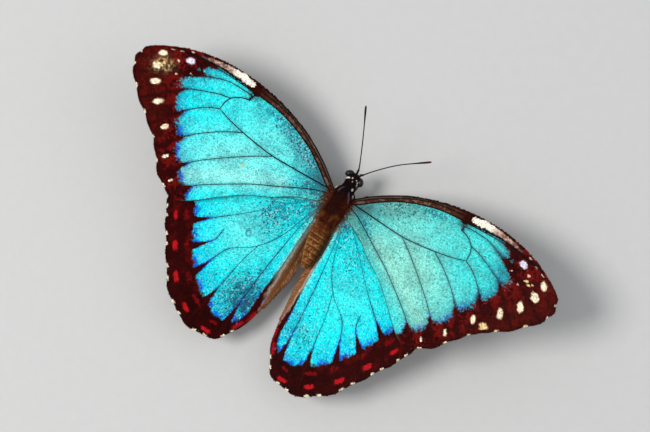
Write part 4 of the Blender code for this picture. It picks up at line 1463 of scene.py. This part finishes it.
LEG_PATHS = {
    "foreleg": [(0.7, -0.6, 6.9), (0.8, -1.2, 5.8), (1.15, -2.8, 4.9), (1.25, -4.4, 4.8),
                (1.0, -5.7, 5.4)],
    "midleg": [(0.8, 1.9, 6.8), (1.0, 1.7, 5.7), (2.2, 1.0, 4.5), (4.2, -1.9, 5.7),
               (5.7, -4.0, 6.5), (7.3, -3.2, 3.6), (8.7, -2.0, 0.9), (9.9, -0.4, 0.2),
               (11.5, 1.9, 0.2)],
    "hindleg": [(0.8, 5.4, 6.9), (1.0, 6.0, 5.9), (2.5, 7.4, 4.7), (5.2, 10.1, 5.2),
                (7.2, 12.6, 5.5), (8.4, 15.2, 2.9), (9.2, 17.2, 0.8), (10.0, 19.0, 0.2),
                (11.2, 21.5, 0.2)],
}
MIDLEG_SHIFT = {"left": 2.8, "right": 1.3}
MIDLEG_KNEE = 3
# Radius by share of the leg: thick thigh, slim shin, jointed foot.
LEG_SHARES = [0.0, 0.12, 0.3, 0.44, 0.47, 0.7, 0.74, 0.78, 1.0]
LEG_RADII = [0.46, 0.42, 0.36, 0.24, 0.26, 0.19, 0.21, 0.17, 0.13]
FOOT_FROM = 0.76
FOOT_JOINT = 0.75


CLAW_RADII = (0.06, 0.02)
CLAW_SIDES = 6


def claws(tip, heading):
    """The two claws at the end of a foot."""
    aside = np.cross(heading, (0, 0, 1.0))
    for claw in (1, -1):
        rows = spline([tip - heading * 0.1, tip + heading * 0.16 + aside * 0.14 * claw,
                       tip + heading * 0.3 + aside * 0.2 * claw - (0, 0, 0.1)], 4)
        yield tube_mesh(rows, np.linspace(*CLAW_RADII, len(rows)), CLAW_SIDES)


def add_legs():
    coats = []
    for side, sign in SIDES.items():
        for kind, path in LEG_PATHS.items():
            shift = MIDLEG_SHIFT[side] if kind == "midleg" else 0.0
            placed = [(sign * out, behind + shift * np.clip((i - 1) / MIDLEG_KNEE, 0, 1), height)
                      for i, (out, behind, height) in enumerate(path)]
            rows, along = path_rows(placed, 12, 0.1)
            share = along / along[-1]
            radii = np.interp(share, LEG_SHARES, LEG_RADII)
            if kind == "foreleg":
                radii = 0.4 - 0.22 * fade(share, 0.5, 1.0)
            else:
                joint = hump(along / FOOT_JOINT % 1.0 - 0.5, 0.12)
                radii = radii * (1 - 0.22 * joint * fade(share, FOOT_FROM - 0.02, FOOT_FROM))
                rows[:, 2] = np.maximum(rows[:, 2], radii + 0.005)
            tint = plain(LEG_BROWN, rows)
            tint = lay(tint, LEG_BUFF, 0.6 * fade(share, 0.35, 0.1))
            tint = lay(tint, LEG_BUFF, 0.35 * fade(share, 0.5, 0.6) * fade(share, 0.75, 0.7))
            meshes = [tube_mesh(rows, radii, LIMB_SIDES)]
            if kind != "foreleg":
                meshes += claws(rows[-1], unit(rows[-1] - rows[-6]))
            points, faces, owner = joined(meshes)
            points[:, 2] = np.maximum(points[:, 2], 0.0)
            tints = np.vstack([np.repeat(tint, LIMB_SIDES, axis=0),
                               np.tile(FEELER_BLACK, ((owner > 0).sum(), 1))])
            piece = new_piece(f"{kind}_{side}_limb", points, faces, tints, CUTICLE)
            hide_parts(f"{kind}_{side}")
            thigh = len(rows) if kind == "foreleg" else int(len(rows) * 0.74)
            coats.append((rows[:thigh], radii[:thigh], tint[:thigh]))
    tufts_on_tubes("leg_coat", coats, 0.13, 0.3, 0.06, 0.45, 41, FUR)


# Studio


# The floor's brightness goes from the third value to the fourth between these two radii: painted
# light that pales the floor away from the lights.
FLOOR_PAINTED_LIGHT = (0.15, 1.3, 0.5, 0.96)
FLOOR_GRAIN = (0.0, 1.0, 0.97, 1.03)


def add_floor():
    bpy.ops.mesh.primitive_circle_add(vertices=128, radius=6.0, fill_type="NGON")
    floor = bpy.context.object
    floor.name = "studio_floor"
    material, tree, shader = new_material("studio_paper")
    link = tree.links.new
    place = add_node(tree, "ShaderNodeTexCoord").outputs["Object"]
    noise = add_node(tree, "ShaderNodeTexNoise", Scale=400.0, Detail=3.0)
    link(place, noise.inputs["Vector"])
    # Painted light: the paper is painted paler away from the lights, so that it meets the air
    # behind it.
    away = add_node(tree, "ShaderNodeVectorMath", operation="LENGTH")
    link(place, away.inputs[0])
    shade = add_node(tree, "ShaderNodeMath", operation="MULTIPLY")
    link(add_range(tree, noise.outputs["Fac"], FLOOR_GRAIN), shade.inputs[0])
    link(add_range(tree, away.outputs["Value"], FLOOR_PAINTED_LIGHT, interpolation_type="SMOOTHSTEP"),
         shade.inputs[1])
    grey = add_node(tree, "ShaderNodeCombineColor")
    for channel in ("Red", "Green", "Blue"):
        link(shade.outputs["Value"], grey.inputs[channel])
    link(grey.outputs["Color"], shader.inputs["Base Color"])
    shader.inputs["Roughness"].default_value = 0.9
    shader.inputs["Specular IOR Level"].default_value = 0.2
    floor.data.materials.append(material)


# Each light's name, place, size, power and colour. They face the floor's middle.
LIGHTS = [("key_light", (0.42, 0.3, 0.92), 0.5, 8.8, (1.0, 0.98, 0.95)),
          ("fill_light", (-0.7, -0.4, 0.7), 0.8, 2.0, (0.95, 0.98, 1.0))]
AIR_COLOUR = (0.86, 0.88, 0.9, 1.0)
AIR_STRENGTH = 0.66


def add_light(name, place, size, power, colour):
    data = bpy.data.lights.new(name, "AREA")
    data.shape, data.size, data.energy, data.color = "DISK", size, power, colour
    light = new_object(name, data)
    light.location = place
    light.rotation_euler = (-Vector(place)).to_track_quat("-Z", "Y").to_euler()
    light.visible_camera = False


# The camera's target and distance in millimetres, and its angles in degrees.
CAMERA_TARGET = np.array((0.73, 7.52, 9.0))
CAMERA_DISTANCE = 466.6
CAMERA_LEAN = 14.11
CAMERA_TILT = 1.83
CAMERA_ROLL = 56.91


def add_camera():
    """Looks down on the insect, a little from its right, turned as the photo is."""
    lean, tilt, roll = (math.radians(a) for a in (CAMERA_LEAN, CAMERA_TILT, CAMERA_ROLL))
    back = np.array((-math.sin(lean) * math.cos(tilt), math.sin(tilt),
                     math.cos(lean) * math.cos(tilt)))
    ahead = np.array((0.0, -1.0, 0.0))
    ahead = unit(ahead - back * (ahead @ back))
    aside = np.cross(back, ahead)
    right = math.cos(roll) * ahead - math.sin(roll) * aside
    up = math.sin(roll) * ahead + math.cos(roll) * aside
    data = bpy.data.cameras.new("photo_camera")
    data.lens, data.sensor_width, data.sensor_fit = 100.0, 36.0, "HORIZONTAL"
    data.clip_start, data.clip_end = 0.01, 50.0
    camera = new_object("photo_camera", data)
    place = (CAMERA_TARGET + back * CAMERA_DISTANCE + HINGE_POINT) * MM
    turned = Matrix((right, up, back)).transposed().to_4x4()
    camera.matrix_world = Matrix.Translation(place) @ turned
    bpy.context.scene.camera = camera


def add_studio():
    add_floor()
    world = bpy.data.worlds.new("studio_air")
    world.use_nodes = True
    bpy.context.scene.world = world
    background = world.node_tree.nodes["Background"]
    background.inputs["Color"].default_value = AIR_COLOUR
    background.inputs["Strength"].default_value = AIR_STRENGTH
    for light in LIGHTS:
        add_light(*light)
    bpy.context.scene.view_settings.view_transform = "Standard"


for side in SIDES:
    for kind in WINGS:
        add_membrane(kind, side)
        add_scale_coat(kind, side, True)
        add_scale_coat(kind, side, False)
        add_veins(kind, side)
        add_fringe(kind, side)
        add_wing_hair(kind, side)
    add_fold_hair(side)
body = skin_grid()
add_skin(body)
for name, start, end, seed in FUR_COATS:
    add_fur(name, body, start, end, seed)
add_eyes()
add_antennae()
add_palps()
add_tongue()
add_legs()
add_studio()
add_camera()
